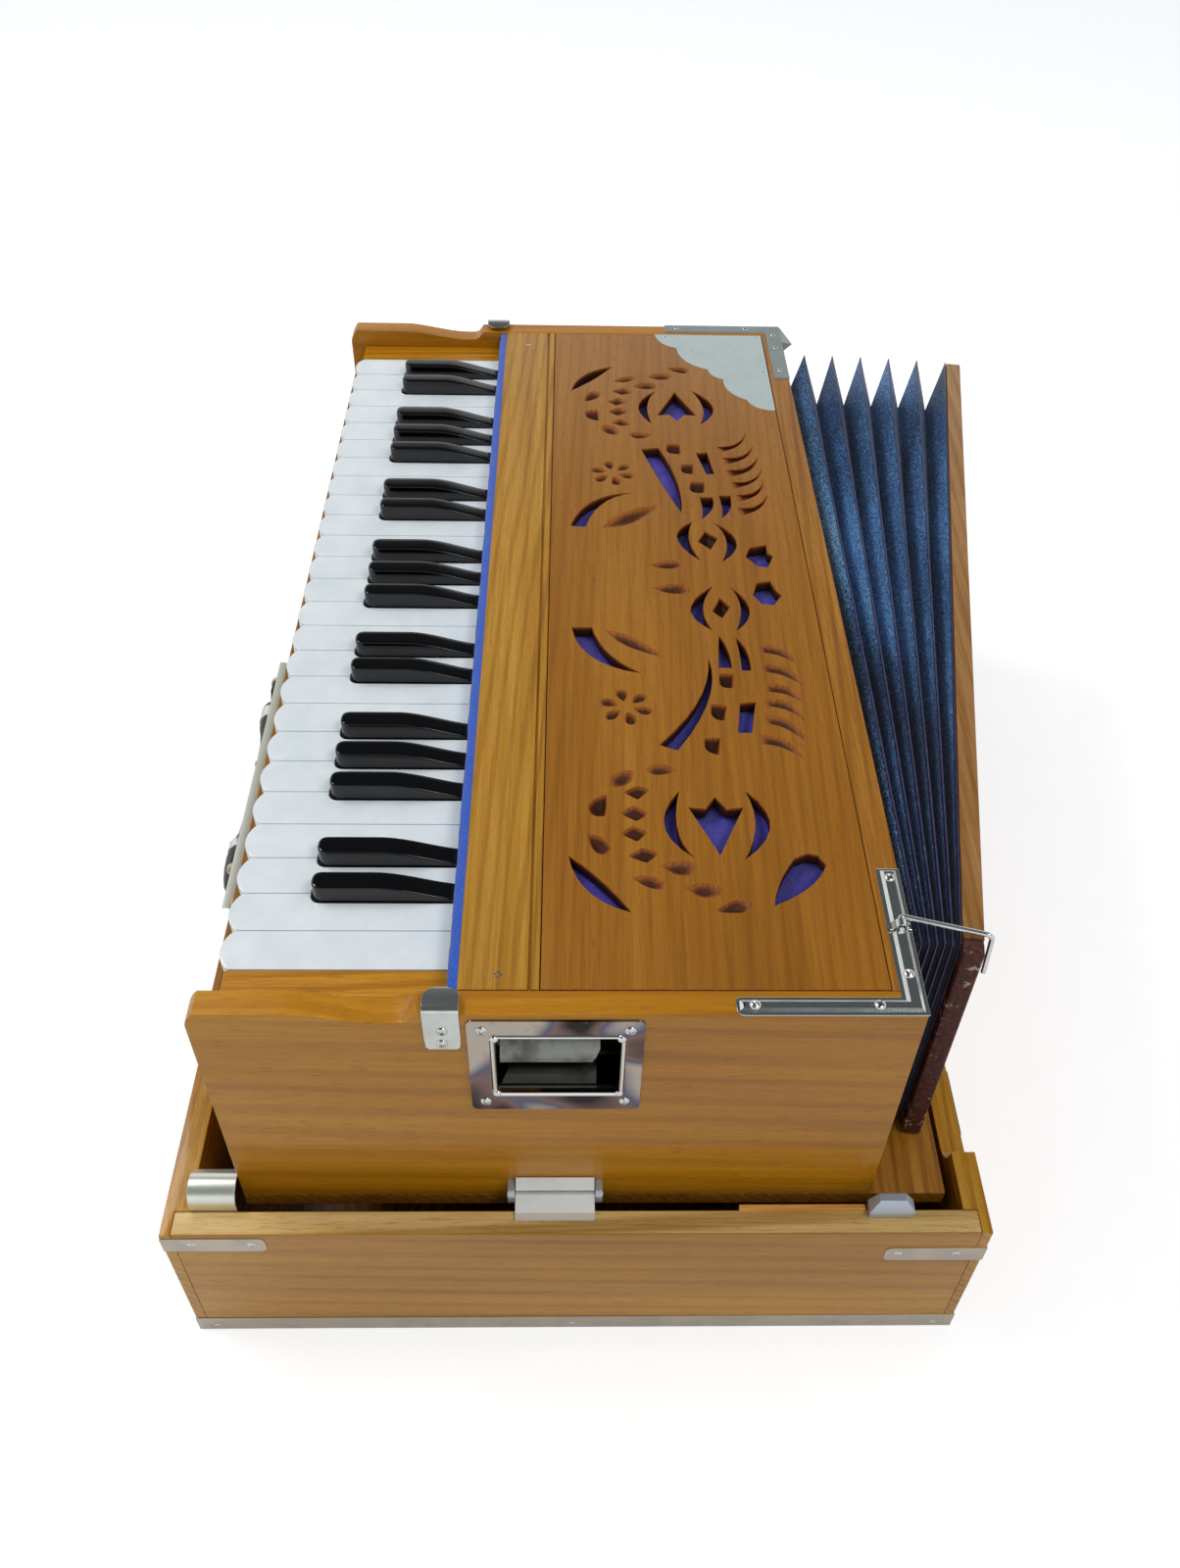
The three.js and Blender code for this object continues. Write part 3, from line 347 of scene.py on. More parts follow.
def rounded(corners, radius, steps=5):
    """An outline with its corners rounded; a corner may give its own radius as a third value."""
    points = []
    for i, corner in enumerate(corners):
        own = corner[2] if len(corner) > 2 else radius
        here, before, after = [np.array(corners[(i + k) % len(corners)][:2], float) for k in (0, -1, 1)]
        if own <= 0:
            points.append(tuple(here))
            continue
        into, out = [(other - here) / np.linalg.norm(other - here) for other in (before, after)]
        half_angle = math.acos(max(-1, min(1, float(into @ out)))) / 2
        cut = own / math.tan(half_angle)
        start, end = here + into * cut, here + out * cut
        for step in range(steps + 1):
            t = step / steps
            points.append(tuple((1 - t) ** 2 * start + 2 * t * (1 - t) * here + t * t * end))
    return points


def add_ring(shape, outline, height):
    return [shape.verts.new((u, v, height)) for u, v in outline]


def add_wall(shape, upper, lower):
    for i in range(len(upper)):
        shape.faces.new((upper[i - 1], upper[i], lower[i], lower[i - 1]))


def add_cap(shape, rings):
    edges = [shape.edges.get((ring[i - 1], ring[i])) for ring in rings for i in range(len(ring))]
    bmesh.ops.triangle_fill(shape, use_beauty=True, edges=edges)


def cut_board(outline, low, high, edge=0.4, under=None, holes=(), hollows=()):
    """A board cut to an outline between two heights, its edges rounded over. Holes go through it;
    hollows, each with its depth and the share of its width that the floor keeps, stop inside it."""
    under = edge if under is None else under
    shape = bmesh.new()
    turns = (0, math.pi / 4, math.pi / 2)
    over = [(edge * (1 - math.sin(t)), high - edge * (1 - math.cos(t))) for t in turns]
    if edge <= 0:
        over = [(0, high)]
    below = [(under * (1 - math.sin(t)), low + under * (1 - math.cos(t))) for t in turns[::-1]]
    if under <= 0:
        below = [(0, low)]
    tops, bottoms = [], []
    for loop, side in [(outline, 1)] + [(hole, -1) for hole in holes]:
        rings = [add_ring(shape, inset(loop, side * shift), height) for shift, height in over + below]
        for upper, lower in zip(rings, rings[1:]):
            add_wall(shape, upper, lower)
        tops.append(rings[0])
        bottoms.append(rings[-1])
    for loop, depth, kept in hollows:
        rings = [add_ring(shape, inset(loop, -shift), height) for shift, height in over]
        centre = np.mean(loop, axis=0)
        for down, share in ((0.6, (1 + kept) * 0.62), (1, kept)):
            rings.append(add_ring(shape, centre + (np.array(loop) - centre) * share, high - depth * down))
        for upper, lower in zip(rings, rings[1:]):
            add_wall(shape, upper, lower)
        tops.append(rings[0])
        add_cap(shape, [rings[-1]])
    add_cap(shape, tops)
    add_cap(shape, bottoms)
    return shape


def span_of(side, inner, outer):
    """From low to high, what lies between two distances from the middle, on the side 1 or -1."""
    return sorted((side * inner, side * outer))


tray_half_length, tray_half_depth = 324.3, 200.4
tray_height, wall_thickness, floor_thickness = 107.1, 12.4, 9.0
lap = 5.2
notch_half, notch_sill, notch_round = 281.0, 91.0, 11.0
tray_shades = ((138, 88, 14), (182, 128, 30), (210, 160, 62))
tray_along_x = teak("tray_teak_along_x", "x", tray_shades, 0.4)
tray_along_y = teak("tray_teak_along_y", "y", tray_shades, 1.3, 42.0, 0.1, 0.4)
rim_teak = teak("tray_rim_teak", "y", ((150, 110, 48), (206, 172, 106), (228, 206, 156)),
                2.7, 30.0, 0.2, 0.6, 0.4)
tray_floor = teak("tray_floor_wood", "x", ((70, 40, 18), (104, 66, 32), (132, 90, 48)), 2.2)

inner_x, inner_y = tray_half_length - wall_thickness, tray_half_depth - wall_thickness
lap_y = tray_half_depth - lap
tray_boards = Piece("tray_boards")
tray_boards.add(plank((-inner_x, inner_x), (-inner_y, inner_y), (0.4, floor_thickness)), tray_floor)
for side in (-1, 1):
    tray_boards.add(plank(span_of(side, inner_x + 0.05, tray_half_length),
                          (-lap_y + 0.05, lap_y - 0.05), (0, tray_height), 0.6), rim_teak, walls=tray_along_y)
front_plan = [(-tray_half_length, -tray_half_depth), (tray_half_length, -tray_half_depth),
              (tray_half_length, -lap_y), (inner_x, -lap_y), (inner_x, -inner_y),
              (-inner_x, -inner_y), (-inner_x, -lap_y), (-tray_half_length, -lap_y)]
tray_boards.add(cut_board(front_plan, 0, tray_height, 0.6), tray_along_x)


def rear_outline(reach):
    notch = []
    for step in range(9):
        t = step / 8 * math.pi / 2
        notch.append((notch_half - notch_round * (1 - math.sin(t)),
                      notch_sill + (tray_height - notch_sill) * (1 - math.cos(t))))
    left = [(-x, z) for x, z in reversed(notch)]
    corners = [(-reach, 0), (reach, 0), (reach, tray_height)]
    return corners + notch[::-1] + left[::-1] + [(-reach, tray_height)]


tray_boards.add(cut_board(rear_outline(inner_x - 0.05), inner_y, lap_y, 0.02, 0.5), tray_along_x, "front")
tray_boards.add(cut_board(rear_outline(tray_half_length), lap_y, tray_half_depth, 0.6, 0.02),
                tray_along_x, "front")
tray_boards.settle("tray", ["tray"])


# Screws
# Domed steel wood screws with a cross cut in the head. One head is turned and cut in the
# tree, and set on every place that a list gives, square to the face it is driven into.
def grown(name, start, tree, **settings):
    """The mesh that a Geometry Nodes tree makes from a start mesh, its inputs set by their names."""
    holder = bpy.data.objects.new(name, start)
    bpy.context.collection.objects.link(holder)
    maker = holder.modifiers.new("maker", "NODES")
    maker.node_group = tree
    for item in tree.interface.items_tree:
        if item.in_out == "INPUT" and item.name in settings:
            maker[item.identifier] = settings[item.name]
    holder.update_tag()
    seen = holder.evaluated_get(bpy.context.evaluated_depsgraph_get())
    mesh = bpy.data.meshes.new_from_object(seen)
    holder.modifiers.clear()
    bpy.data.objects.remove(holder)
    return mesh


def new_tree(name, sizes):
    """A Geometry Nodes tree with a geometry socket, the named sizes and a finish to set at the end."""
    tree = bpy.data.node_groups.new(name, "GeometryNodeTree")
    tree.interface.new_socket("Geometry", in_out="OUTPUT", socket_type="NodeSocketGeometry")
    tree.interface.new_socket("Geometry", in_out="INPUT", socket_type="NodeSocketGeometry")
    for size in sizes:
        tree.interface.new_socket(size, in_out="INPUT", socket_type="NodeSocketFloat")
    tree.interface.new_socket("Finish", in_out="INPUT", socket_type="NodeSocketMaterial")
    nodes = Nodes(tree)
    given = {}
    entry = tree.nodes.new("NodeGroupInput")
    for socket in entry.outputs[:-1]:
        given[socket.name] = Reading(nodes, socket)
    return nodes, given


def close_tree(nodes, given, shape):
    real = nodes.node("GeometryNodeRealizeInstances", {}, {0: shape})
    dressed = nodes.node("GeometryNodeSetMaterial", {}, {"Geometry": real, "Material": given["Finish"]})
    nodes.node("NodeGroupOutput", {}, {0: dressed})
    return nodes.tree


screw_nodes, screw_sizes = new_tree("screw_heads", ["Radius", "Rise", "Slot"])
head_radius, head_rise = screw_sizes["Radius"], screw_sizes["Rise"]


def triple(x, y, z):
    """Three readings or numbers in one socket."""
    return screw_nodes.node("ShaderNodeCombineXYZ", {}, {0: x, 1: y, 2: z})


def placed(shape, **change):
    """A shape moved, turned or scaled inside the tree."""
    return screw_nodes.node("GeometryNodeTransform", {}, {"Geometry": shape, **change})


ball = screw_nodes.node("GeometryNodeMeshUVSphere", {}, {"Segments": 20, "Rings": 10, "Radius": head_radius})
dome = placed(ball, Scale=triple(1.0, 1.0, head_rise / head_radius))
slot_size = triple(screw_sizes["Slot"], head_radius * 1.5, head_rise)
cutter = screw_nodes.node("GeometryNodeMeshCube", {}, {"Size": slot_size})
one_cut = placed(cutter, Translation=triple(0.0, 0.0, head_rise * 1.05))
cross_cut = placed(one_cut, Rotation=(0, 0, math.pi / 2))
head = screw_nodes.node("GeometryNodeMeshBoolean", {"operation": "DIFFERENCE"}, {"Mesh 1": dome})
for part in (one_cut, cross_cut):
    screw_nodes.tree.links.new(part.socket, head.socket.node.inputs["Mesh 2"])
driven = screw_nodes.node("GeometryNodeInputNamedAttribute", {"data_type": "FLOAT_VECTOR"},
                          {"Name": "driven"})
square = screw_nodes.node("FunctionNodeAlignRotationToVector", {"axis": "Z"}, {"Vector": driven})
spin = screw_nodes.node("FunctionNodeRandomValue", {"data_type": "FLOAT"},
                        {2: 0.0, 3: 3.1, "Seed": 4}, output=1)
spun = screw_nodes.node("FunctionNodeEulerToRotation", {}, {0: triple(0.0, 0.0, spin)})
stance = screw_nodes.node("FunctionNodeRotateRotation", {"rotation_space": "LOCAL"},
                          {"Rotation": square, "Rotate By": spun})
screw_tree = close_tree(screw_nodes, screw_sizes, screw_nodes.node("GeometryNodeInstanceOnPoints", {}, {
    "Points": screw_sizes["Geometry"], "Instance": head, "Rotation": stance}))


def metal(name, shade, roughness, streaks="y", marks=0.3, wear_and_shade=(0.6, 0.6, 0.6, 1), bumps=0.15, metallic=1.0):
    """Sheet metal or wire: rubbing marks along one axis, cloudy patches and small dents."""
    sheet = Finish(name)
    stretch = [0.05 if axis == "xyz".index(streaks) else 1 for axis in range(3)]
    rubbed = sheet.clouds(sheet.places(stretch), 1200.0, 2.0, 0.6)
    patches = sheet.clouds(sheet.places(), 55.0, 3.0, 0.6)
    # On most metals the patch colour is wear. On the cup's finger strips it is painted shade.
    colour = sheet.mixed(patches.rising(0.42, 0.68) * marks, paint(*shade), wear_and_shade)
    height = rubbed * 0.4 + sheet.clouds(sheet.places(), 90.0, 1.0) * 1.2
    return sheet.surface(colour, roughness + patches * 0.16 + rubbed * 0.05, height, 0.00012, bumps,
                         Metallic=metallic)


screw_steel = metal("screw_steel", (214, 214, 212), 0.12, "x", 0.25)


def screws(name, body, spots, radius=2.3, rise=1.3, slot=0.55):
    """Screw heads at a list of (place in mm, direction that the head faces)."""
    start = bpy.data.meshes.new(name)
    start.from_pydata([at(*place) for place, _ in spots], [], [])
    driven = start.attributes.new("driven", "FLOAT_VECTOR", "POINT")
    driven.data.foreach_set("vector", [value for _, facing in spots for value in facing])
    mesh = grown(name, start, screw_tree, Radius=radius / 1000, Rise=rise / 1000, Slot=slot / 1000,
                 Finish=screw_steel)
    return settle_mesh(name, mesh, body)


# Tray metalwork
# Thin bright steel edging nailed round the foot, a strap round each upper corner, a springy steel leaf
# curled over behind each front corner and a chamfered aluminium block behind each rear one.
plate_shade, plate_worn = (196, 186, 170), (0.42, 0.38, 0.33, 1)
plate_steel = metal("plate_steel", plate_shade, 0.3, "y", 0.5, plate_worn, 0.15, 0.85)
plate_steel_x = metal("plate_steel_along_x", plate_shade, 0.3, "x", 0.5, plate_worn, 0.15, 0.85)
leaf_steel = metal("leaf_steel", (226, 230, 218), 0.22, "x", 0.3, (0.6, 0.62, 0.54, 1), 0.15, 0.8)
block_aluminium = metal("block_aluminium", (192, 202, 214), 0.36, "y", 0.3, (0.5, 0.55, 0.6, 1), 0.15, 0.8)
edging_height, edging_thickness = 13.4, 0.48
strap_height, strap_length, strap_short, strap_thickness = 12.6, 50.0, 34, 0.45


def oblong(u, v):
    """The four corners of an oblong between two places on each of two axes."""
    return [(u[0], v[0]), (u[1], v[0]), (u[1], v[1]), (u[0], v[1])]


edging = Piece("foot_edging")
face_x, face_y = tray_half_length + 0.02, tray_half_depth + 0.02
for side in (-1, 1):
    ends = span_of(side, face_x, face_x + edging_thickness)
    along = oblong((-face_y - edging_thickness, face_y + edging_thickness), (0.2, edging_height))
    edging.add(cut_board(along, *ends, 0.12), plate_steel, "end")
    ends = span_of(side, face_y, face_y + edging_thickness)
    across = oblong((-face_x, face_x), (0.2, edging_height))
    edging.add(cut_board(across, *ends, 0.12), plate_steel_x, "front")
edging.settle("tray")

straps = Piece("corner_straps")
strap_screws = []
for end in (-1, 1):
    for rear, low in ((-1, 91.4), (1, 79.2)):
        high = low + strap_height
        reach = tray_half_depth + strap_thickness - 0.03
        side = rounded([(rear * reach, low, 0), (rear * reach, high, 0),
                        (rear * (reach - strap_length), high, 4), (rear * (reach - strap_length), low, 4)], 0)
        faces = span_of(end, face_x, face_x + strap_thickness)
        straps.add(cut_board(side, *faces, 0.12), plate_steel, "end")
        reach = tray_half_length + strap_thickness - 0.03
        reach_in = reach - (strap_short if rear > 0 else strap_length)
        front = rounded([(end * reach, low, 0), (end * reach, high, 0), (end * reach_in, high, 4),
                         (end * reach_in, low, 4)], 0)
        faces = span_of(rear, face_y, face_y + strap_thickness)
        straps.add(cut_board(front, *faces, 0.12), plate_steel_x, "front")
        middle = (low + high) / 2 + 0.6
        for back in (14.2, 42.8):
            spot = (end * (face_x + 0.2), rear * (tray_half_depth - back), middle)
            strap_screws.append((spot, (end, 0, 0)))
        for back in (12.0, 26.0 if rear > 0 else 40.0):
            spot = (end * (tray_half_length - back), rear * (face_y + 0.2), middle)
            strap_screws.append((spot, (0, rear, 0)))
straps.settle("tray")
screws("strap_screws", "tray", strap_screws, 2.2, 0.9)


def on_ends(reach, places):
    """Places (y, z) on both end faces at a distance from the middle, each facing outwards."""
    return [((end * reach, y, z), (end, 0, 0)) for end in (-1, 1) for y, z in places]


edging_screw_z = 4.6
edging_screws = on_ends(face_x + 0.3, [(y, edging_screw_z) for y in (-190.8, -2.8, 190.7)])
edging_screws += [((x, rear * (face_y + 0.3), edging_screw_z), (0, rear, 0))
                  for rear in (-1, 1) for x in (-300, -150, 0, 150, 300)]
screws("edging_screws", "tray", edging_screws, 1.7, 0.6, 0.4)


def skin(rings, ends=True):
    """A skin over rings of equal count, each a list of places in millimetres."""
    shape = bmesh.new()
    made = [[shape.verts.new(place) for place in ring] for ring in rings]
    for upper, lower in zip(made, made[1:]):
        add_wall(shape, upper, lower)
    if ends:
        shape.faces.new(made[0])
        shape.faces.new(made[-1])
    return shape


def bent_strip(path, width_from, width_to, thickness, axis="y", edge=0.15):
    """Sheet metal bent along a path of two coordinates and as wide as the third axis allows."""
    spine = np.array(path, float)
    slopes = np.gradient(spine, axis=0)
    slopes /= np.linalg.norm(slopes, axis=1, keepdims=True)
    normal = np.stack([-slopes[:, 1], slopes[:, 0]], 1) * thickness / 2
    rings = []
    for place, out in zip(spine, normal):
        corners = [(place + out * s, width_from + e) for s, e in
                   ((1, edge), (0.6, 0), (-0.6, 0), (-1, edge))]
        corners += [(place + out * s, width_to - e) for s, e in
                    ((-1, edge), (-0.6, 0), (0.6, 0), (1, edge))]
        if axis == "y":
            rings.append([(p[0], w, p[1]) for p, w in corners])
        else:
            rings.append([(w, p[0], p[1]) for p, w in corners])
    return skin(rings)


leaf_front, leaf_rear, leaf_thickness = -188.0, -165.2, 0.8
leaf_top, leaf_bend, leaf_side, leaf_curl = 119.6, 8.6, 311.4, math.radians(128)
leaves = Piece("front_corner_leaves")
for side in (-1, 1):
    path = [(side * leaf_side, z) for z in (72, 84, 98, leaf_top - leaf_bend)]
    for step in range(1, 11):
        t = step / 10 * leaf_curl
        path.append((side * (leaf_side - leaf_bend * (1 - math.cos(t))),
                     leaf_top - leaf_bend + leaf_bend * math.sin(t)))
    tail = path[-1]
    path.append((tail[0] - side * 4.4, tail[1] - 5.0))
    leaves.add(bent_strip(path, leaf_front, leaf_rear, leaf_thickness), leaf_steel)
leaves.settle("tray", sharp=50)

blocks = Piece("rear_corner_blocks")
block_inner, block_outer = 308.8, 316.2
block_front, block_rear, block_top, block_base, block_slope = 140.9, 163.0, 118.3, 107.15, 4.4
for side in (-1, 1):
    low_plan = rounded(oblong((side * block_inner, side * block_outer), (block_front, block_rear)), 0.6, 2)
    high_plan = rounded(oblong((side * 309.0, side * 313.4),
                               (block_front + block_slope, block_rear - block_slope)), 0.6, 2)
    blocks.add(skin([[(x, y, z) for x, y in plan] for plan, z in (
        (low_plan, block_base), (low_plan, block_base + 4.6), (high_plan, block_top - 0.3),
        (inset(high_plan, 0.3), block_top))]), block_aluminium)
    stem = span_of(side, 308.9, 312.5)
    blocks.add(plank(stem, (block_front + 0.4, block_rear - 0.4), (95.8, block_base + 0.1), 0.3),
               block_aluminium)
blocks.settle("tray", sharp=28)

lip_wood = teak("lip_wood", "y", ((188, 124, 52), (224, 166, 84), (240, 194, 118)), 4.0)
lip_front, lip_rear, lip_low, lip_high = 78, 140, 100.5, 108.4
lips = Piece("case_seat_lips")
for side in (-1, 1):
    lips.add(plank(span_of(side, 309.6, 312.6), (lip_front, lip_rear), (lip_low, lip_high), 0.5), lip_wood)
lips.settle("tray")

catch = Piece("rear_draw_catch")
catch_outline = rounded(oblong((222, 262), (80, 90.4)), 2.5)
dark_steel = metal("dark_steel", (92, 90, 88), 0.34, "x", 0.5, (0.3, 0.3, 0.3, 1))
catch.add(cut_board(catch_outline, face_y, face_y + 0.5, 0.15), dark_steel, "front")
catch.settle("tray")


# Carrying handle
# A moulded grip, waisted in the middle and banded with bright collars, hangs by two arms on pins from
# a steel plate whose upper edge is rolled outwards, and which is screwed to the tray's front wall.
def turned(profile, axis_place, sides=28):
    """A shape turned about a line along x: profile gives (x, radius), axis_place is (y, z)."""
    rings = []
    for x, radius in profile:
        rings.append([(x, axis_place[0] + radius * math.cos(2 * math.pi * s / sides),
                       axis_place[1] + radius * math.sin(2 * math.pi * s / sides)) for s in range(sides)])
    return skin(rings)


moulding = Finish("black_moulding")
moulding_fine = moulding.clouds(moulding.places(), 900.0, 2.0, 0.6)
moulding_worn = moulding.clouds(moulding.places(), 60.0, 3.0, 0.6).rising(0.45, 0.75)
black_moulding = moulding.surface(moulding.mixed(moulding_worn * 0.5, paint(16, 16, 18), paint(46, 44, 42)),
                                  0.3 + moulding_worn * 0.25, moulding_fine, 0.00005, 0.3)

grip_middle, grip_half = -4.0, 84.0
pivot_y, pivot_z, grip_y, grip_z = -210.0, 92.0, -214.5, 70.0
ear_start, ear_thickness, pin_radius = grip_half + 0.3, 3.0, 2.4
eye_outer, eye_hole, plate_face = 4.8, 2.6, -203.5
handle_plate = Piece("handle_plate")
plate_outline = rounded(oblong((-106, 121.5), (60, 104)), 5, 6)
handle_plate.add(cut_board(plate_outline, plate_face - 0.1, -tray_half_depth, 0.4), plate_steel_x, "front")
flange_steel = metal("flange_steel", (226, 232, 220), 0.3, "x", 0.3, (0.62, 0.65, 0.58, 1), 0.2, 0.4)
flange_path = [(-203.4, 97.5), (plate_face, 101), (-204.2, 102.9), (-205.8, 103.6), (-208.4, 103.4)]
handle_plate.add(bent_strip(flange_path, -99.0, 121.0, 0.8, "x"), flange_steel)
for side in (-1, 1):
    ear = [(pivot_y + eye_outer * math.cos(t), pivot_z + eye_outer * math.sin(t))
           for t in [math.pi * (0.5 + s / 12) for s in range(13)]]
    ear += [(plate_face, pivot_z - eye_outer), (plate_face, pivot_z + eye_outer)]
    hole = [(pivot_y + eye_hole * math.cos(s * math.pi / 8), pivot_z + eye_hole * math.sin(s * math.pi / 8))
            for s in range(16)]
    span = sorted((grip_middle + side * ear_start, grip_middle + side * (ear_start + ear_thickness)))
    handle_plate.add(cut_board(ear, *span, 0.3, holes=[hole]), plate_steel, "end")
handle_plate.settle("tray", ["carry_handle_plate"])
screws("handle_plate_screws", "tray", [
    ((x, plate_face, z), (0, -1, 0)) for x in (-98, 113.5) for z in (92, 68)], 2.6, 1.2)

grip = Piece("carry_grip_looks")
grip_profile = [
    (-88, 2.5), (-88, 7.0), (-87, 8.2), (-85, 9.0), (-83, 9.2), (-72, 8.8), (-66, 8.2), (-58, 6.4),
    (-50, 5.2), (-34, 4.8), (-31, 5.6), (-28, 4.8), (-10, 4.6), (20, 4.8), (34, 5.4), (40, 7.4),
    (43, 8.8), (50, 9.0), (56, 9.3), (64, 9.0), (72, 8.0), (77.5, 6.8), (80, 5.4), (80, 2.5)]
grip.add(turned(grip_profile, (grip_y, grip_z)), black_moulding)
silver = metal("bright_collar", (222, 222, 220), 0.14, "x", 0.2)
for side, middle, reach in ((-1, -77.5, 5.5), (1, 46.5, 3.6)):
    collar = [(-reach, 8.0), (-reach, 9.1), (0.6 - reach, 9.45), (1.8 - reach, 9.3)]
    collar += [(-x, radius) for x, radius in reversed(collar)]
    grip.add(turned([(middle + x, radius) for x, radius in collar], (grip_y, grip_z)), silver)
    arm = rounded([(grip_y - 3.4, grip_z - 4), (grip_y + 3.4, grip_z - 4), (pivot_y + 3.4, pivot_z + 3.6),
                   (pivot_y - 3.4, pivot_z + 3.6)], 2.4, 4)
    span = sorted((grip_middle + side * (grip_half - 7.6), grip_middle + side * (grip_half - 0.2)))
    grip.add(cut_board(arm, *span, 0.7), black_moulding, "end")
    pin = sorted((grip_middle + side * (grip_half - 7), grip_middle + side * (ear_start + ear_thickness)))
    grip.add(turned([(pin[0], 1.6), (pin[0] + 0.2, pin_radius), (pin[1] - 0.3, pin_radius), (pin[1], 2.0)],
                    (pivot_y, pivot_z)), silver)
grip.settle("carry_grip", ["carry_grip"])


# Case boards
# The case is a tall teak box that stands raised on the tray: two end panels whose tops dip at the
# keys, a low front board, a back board and a base board, glued and screwed, varnished golden brown.
case_half, panel_inner = 300.6, 288.0
case_front, case_rear, case_top = -165.0, 144.6, 255.2
base_bottom, base_top, base_rear = 92.0, 102.0, 182.5
front_top, front_board, back_board = 228.0, 10.0, 13.4
case_shades = ((138, 86, 8), (178, 118, 14), (208, 152, 44))
end_teak = teak("end_panel_teak", "y", case_shades, 0.9, 38.0, 0.1, 0.4)
back_teak = teak("back_board_teak", "x", ((116, 68, 14), (154, 100, 26), (184, 132, 50)), 1.7)
block_teak = teak("key_block_teak", "y", case_shades, 2.9)
inner_teak = teak("inner_board_teak", "x", ((96, 58, 26), (132, 84, 42), (160, 112, 64)), 3.7)

key_block_side, ledge_side, ledge_low, ledge_high = 269.05, 276.0, 242.1, 248.7
cheek = [(case_rear, base_top + 0.05), (case_rear, case_top), (-67, case_top), (-70, case_top - 0.3),
         (-73, 250.6), (-75.5, 249.5), (-80, 249.3), (-87, 249.6), (-93, 250.3), (-100, 251.5), (-108, 253.0),
         (-116, 254.4), (-122, 255.1), (-126, case_top), (-160.6, case_top), (-162.4, 253.2), (-163.8, 250.6),
         (-164.6, 248.6), (case_front, 246.4), (case_front, base_top + 0.05)]
pocket = rounded(oblong((-38.9, 18.9), (195.4, 241.5)), 0.8, 3)
case_boards = Piece("case_boards")
for side in (-1, 1):
    span = span_of(side, panel_inner, case_half)
    case_boards.add(cut_board(cheek, *span, 0.7, 0.7, [pocket]), end_teak, "end")
    span = span_of(side, key_block_side, panel_inner + 0.01)
    case_boards.add(plank(span, (case_front + front_board + 0.05, -18.05), (213.8, 243.2), 0.5), block_teak)
    span = span_of(side, ledge_side, panel_inner + 0.01)
    case_boards.add(plank(span, (-17.6, case_rear - back_board), (ledge_low, ledge_high), 0.3), inner_teak)
    for front in (-34.7, 7.8):
        lug = rounded([(side * 300.55, 106.4), (side * 306.6, 106.4, 0.6), (side * 308.6, 108.6, 1.4),
                       (side * 308.6, 114.4, 1.4), (side * 306.6, 116.4, 1.4), (side * 300.55, 116.4)], 0.0)
        case_boards.add(cut_board(lug, front, front + 3.4, 0.2), block_aluminium, "front")
case_boards.add(plank((-case_half, case_half), (case_front, base_rear), (base_bottom, base_top), 0.6),
                back_teak)
case_boards.add(plank((-panel_inner, panel_inner), (case_front + 1.8, case_front + front_board),
                      (base_top, front_top), 0.5), back_teak)
case_boards.add(plank((-panel_inner, panel_inner), (case_rear - back_board, case_rear - 0.05),
                      (base_top, case_top), 0.5), back_teak)
case_boards.add(plank((0.1 - ledge_side, ledge_side - 0.1), (121.2, 131.1), (ledge_low, ledge_high), 0.3),
                inner_teak)
for low, high in ((-155, -147), (123.2, 131.1)):
    case_boards.add(plank((-panel_inner, panel_inner), (low, high), (196.7, 204.7), 0.3), inner_teak)
case_boards.settle("case", ["case"])

pale_sticks = teak("pale_stick_wood", "y", ((168, 122, 70), (196, 152, 96), (214, 176, 124)), 5.1)
reed_wood = teak("reed_board_wood", "x", ((150, 104, 58), (182, 136, 84), (204, 162, 110)), 5.9)


def dress(name, finish):
    """Puts a finish on a solid of the frame that is shown as it is."""
    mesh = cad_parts[name].data
    mesh.materials.clear()
    mesh.materials.append(finish)


dress("reed_board", reed_wood)


# White keys
# Moulded white caps with fronts rounded to a shallow scallop, cut away beside the black keys and glued
# on sticks of pale wood. Each stick rocks on the balance rail and ends in a pallet over a reed slot.
white_pitch, white_gap, white_count = 21.5, 0.34, 25
white_top, white_thickness, white_cusp, white_bulge = 243.3, 7.3, -153.9, 4.9
notch_front, head_rear, black_width, clearance, slot_round = -123.4, -56.4, 10.2, 0.6, 4.4
stick_half, stick_rear, stick_low, stick_high = 4.5, 100.0, 229.0, 241.0
pallet_front, pallet_rear, pallet_half, pallet_low = 45.0, 95.0, 4.8, 213.6
white_left = -white_count * white_pitch / 2
letters, sharp_letters = "CDEFGAB", "CDFGA"

ivory = Finish("ivory_plastic")
ivory_clouds = ivory.clouds(ivory.places(), 45.0, 3.0, 0.6)
ivory_dust = ivory.clouds(ivory.places(), 700.0, 2.0, 0.7).rising(0.62, 0.78)
ivory_shades = ivory.shades(ivory_clouds, [(0.3, paint(214, 222, 226)), (0.7, paint(228, 233, 234))])
ivory_plastic = ivory.surface(
    ivory.mixed(ivory_dust * 0.25, ivory_shades, paint(176, 178, 176)),
    0.16 + ivory_dust * 0.2 + ivory_clouds * 0.08, ivory_clouds, 0.0003, 0.25,
    Specular_IOR_Level=0.5, Coat_Weight=0.3, Coat_Roughness=0.05, Subsurface_Weight=0.08,
    Subsurface_Radius=(0.004, 0.004, 0.003))


def has_sharp(index):
    return 0 <= index < white_count - 1 and letters[index % 7] in sharp_letters


def add_stick(key, middle, sides, parts):
    """A key's stick in parts, each between two places on y and on z, with its pallet under the end."""
    for y, z in parts:
        key.add(plank(sides, y, z, 0.35), pale_sticks)
    key.add(plank((middle - pallet_half, middle + pallet_half), (pallet_front, pallet_rear),
                  (pallet_low, stick_low + 0.5), 0.3), pale_sticks)


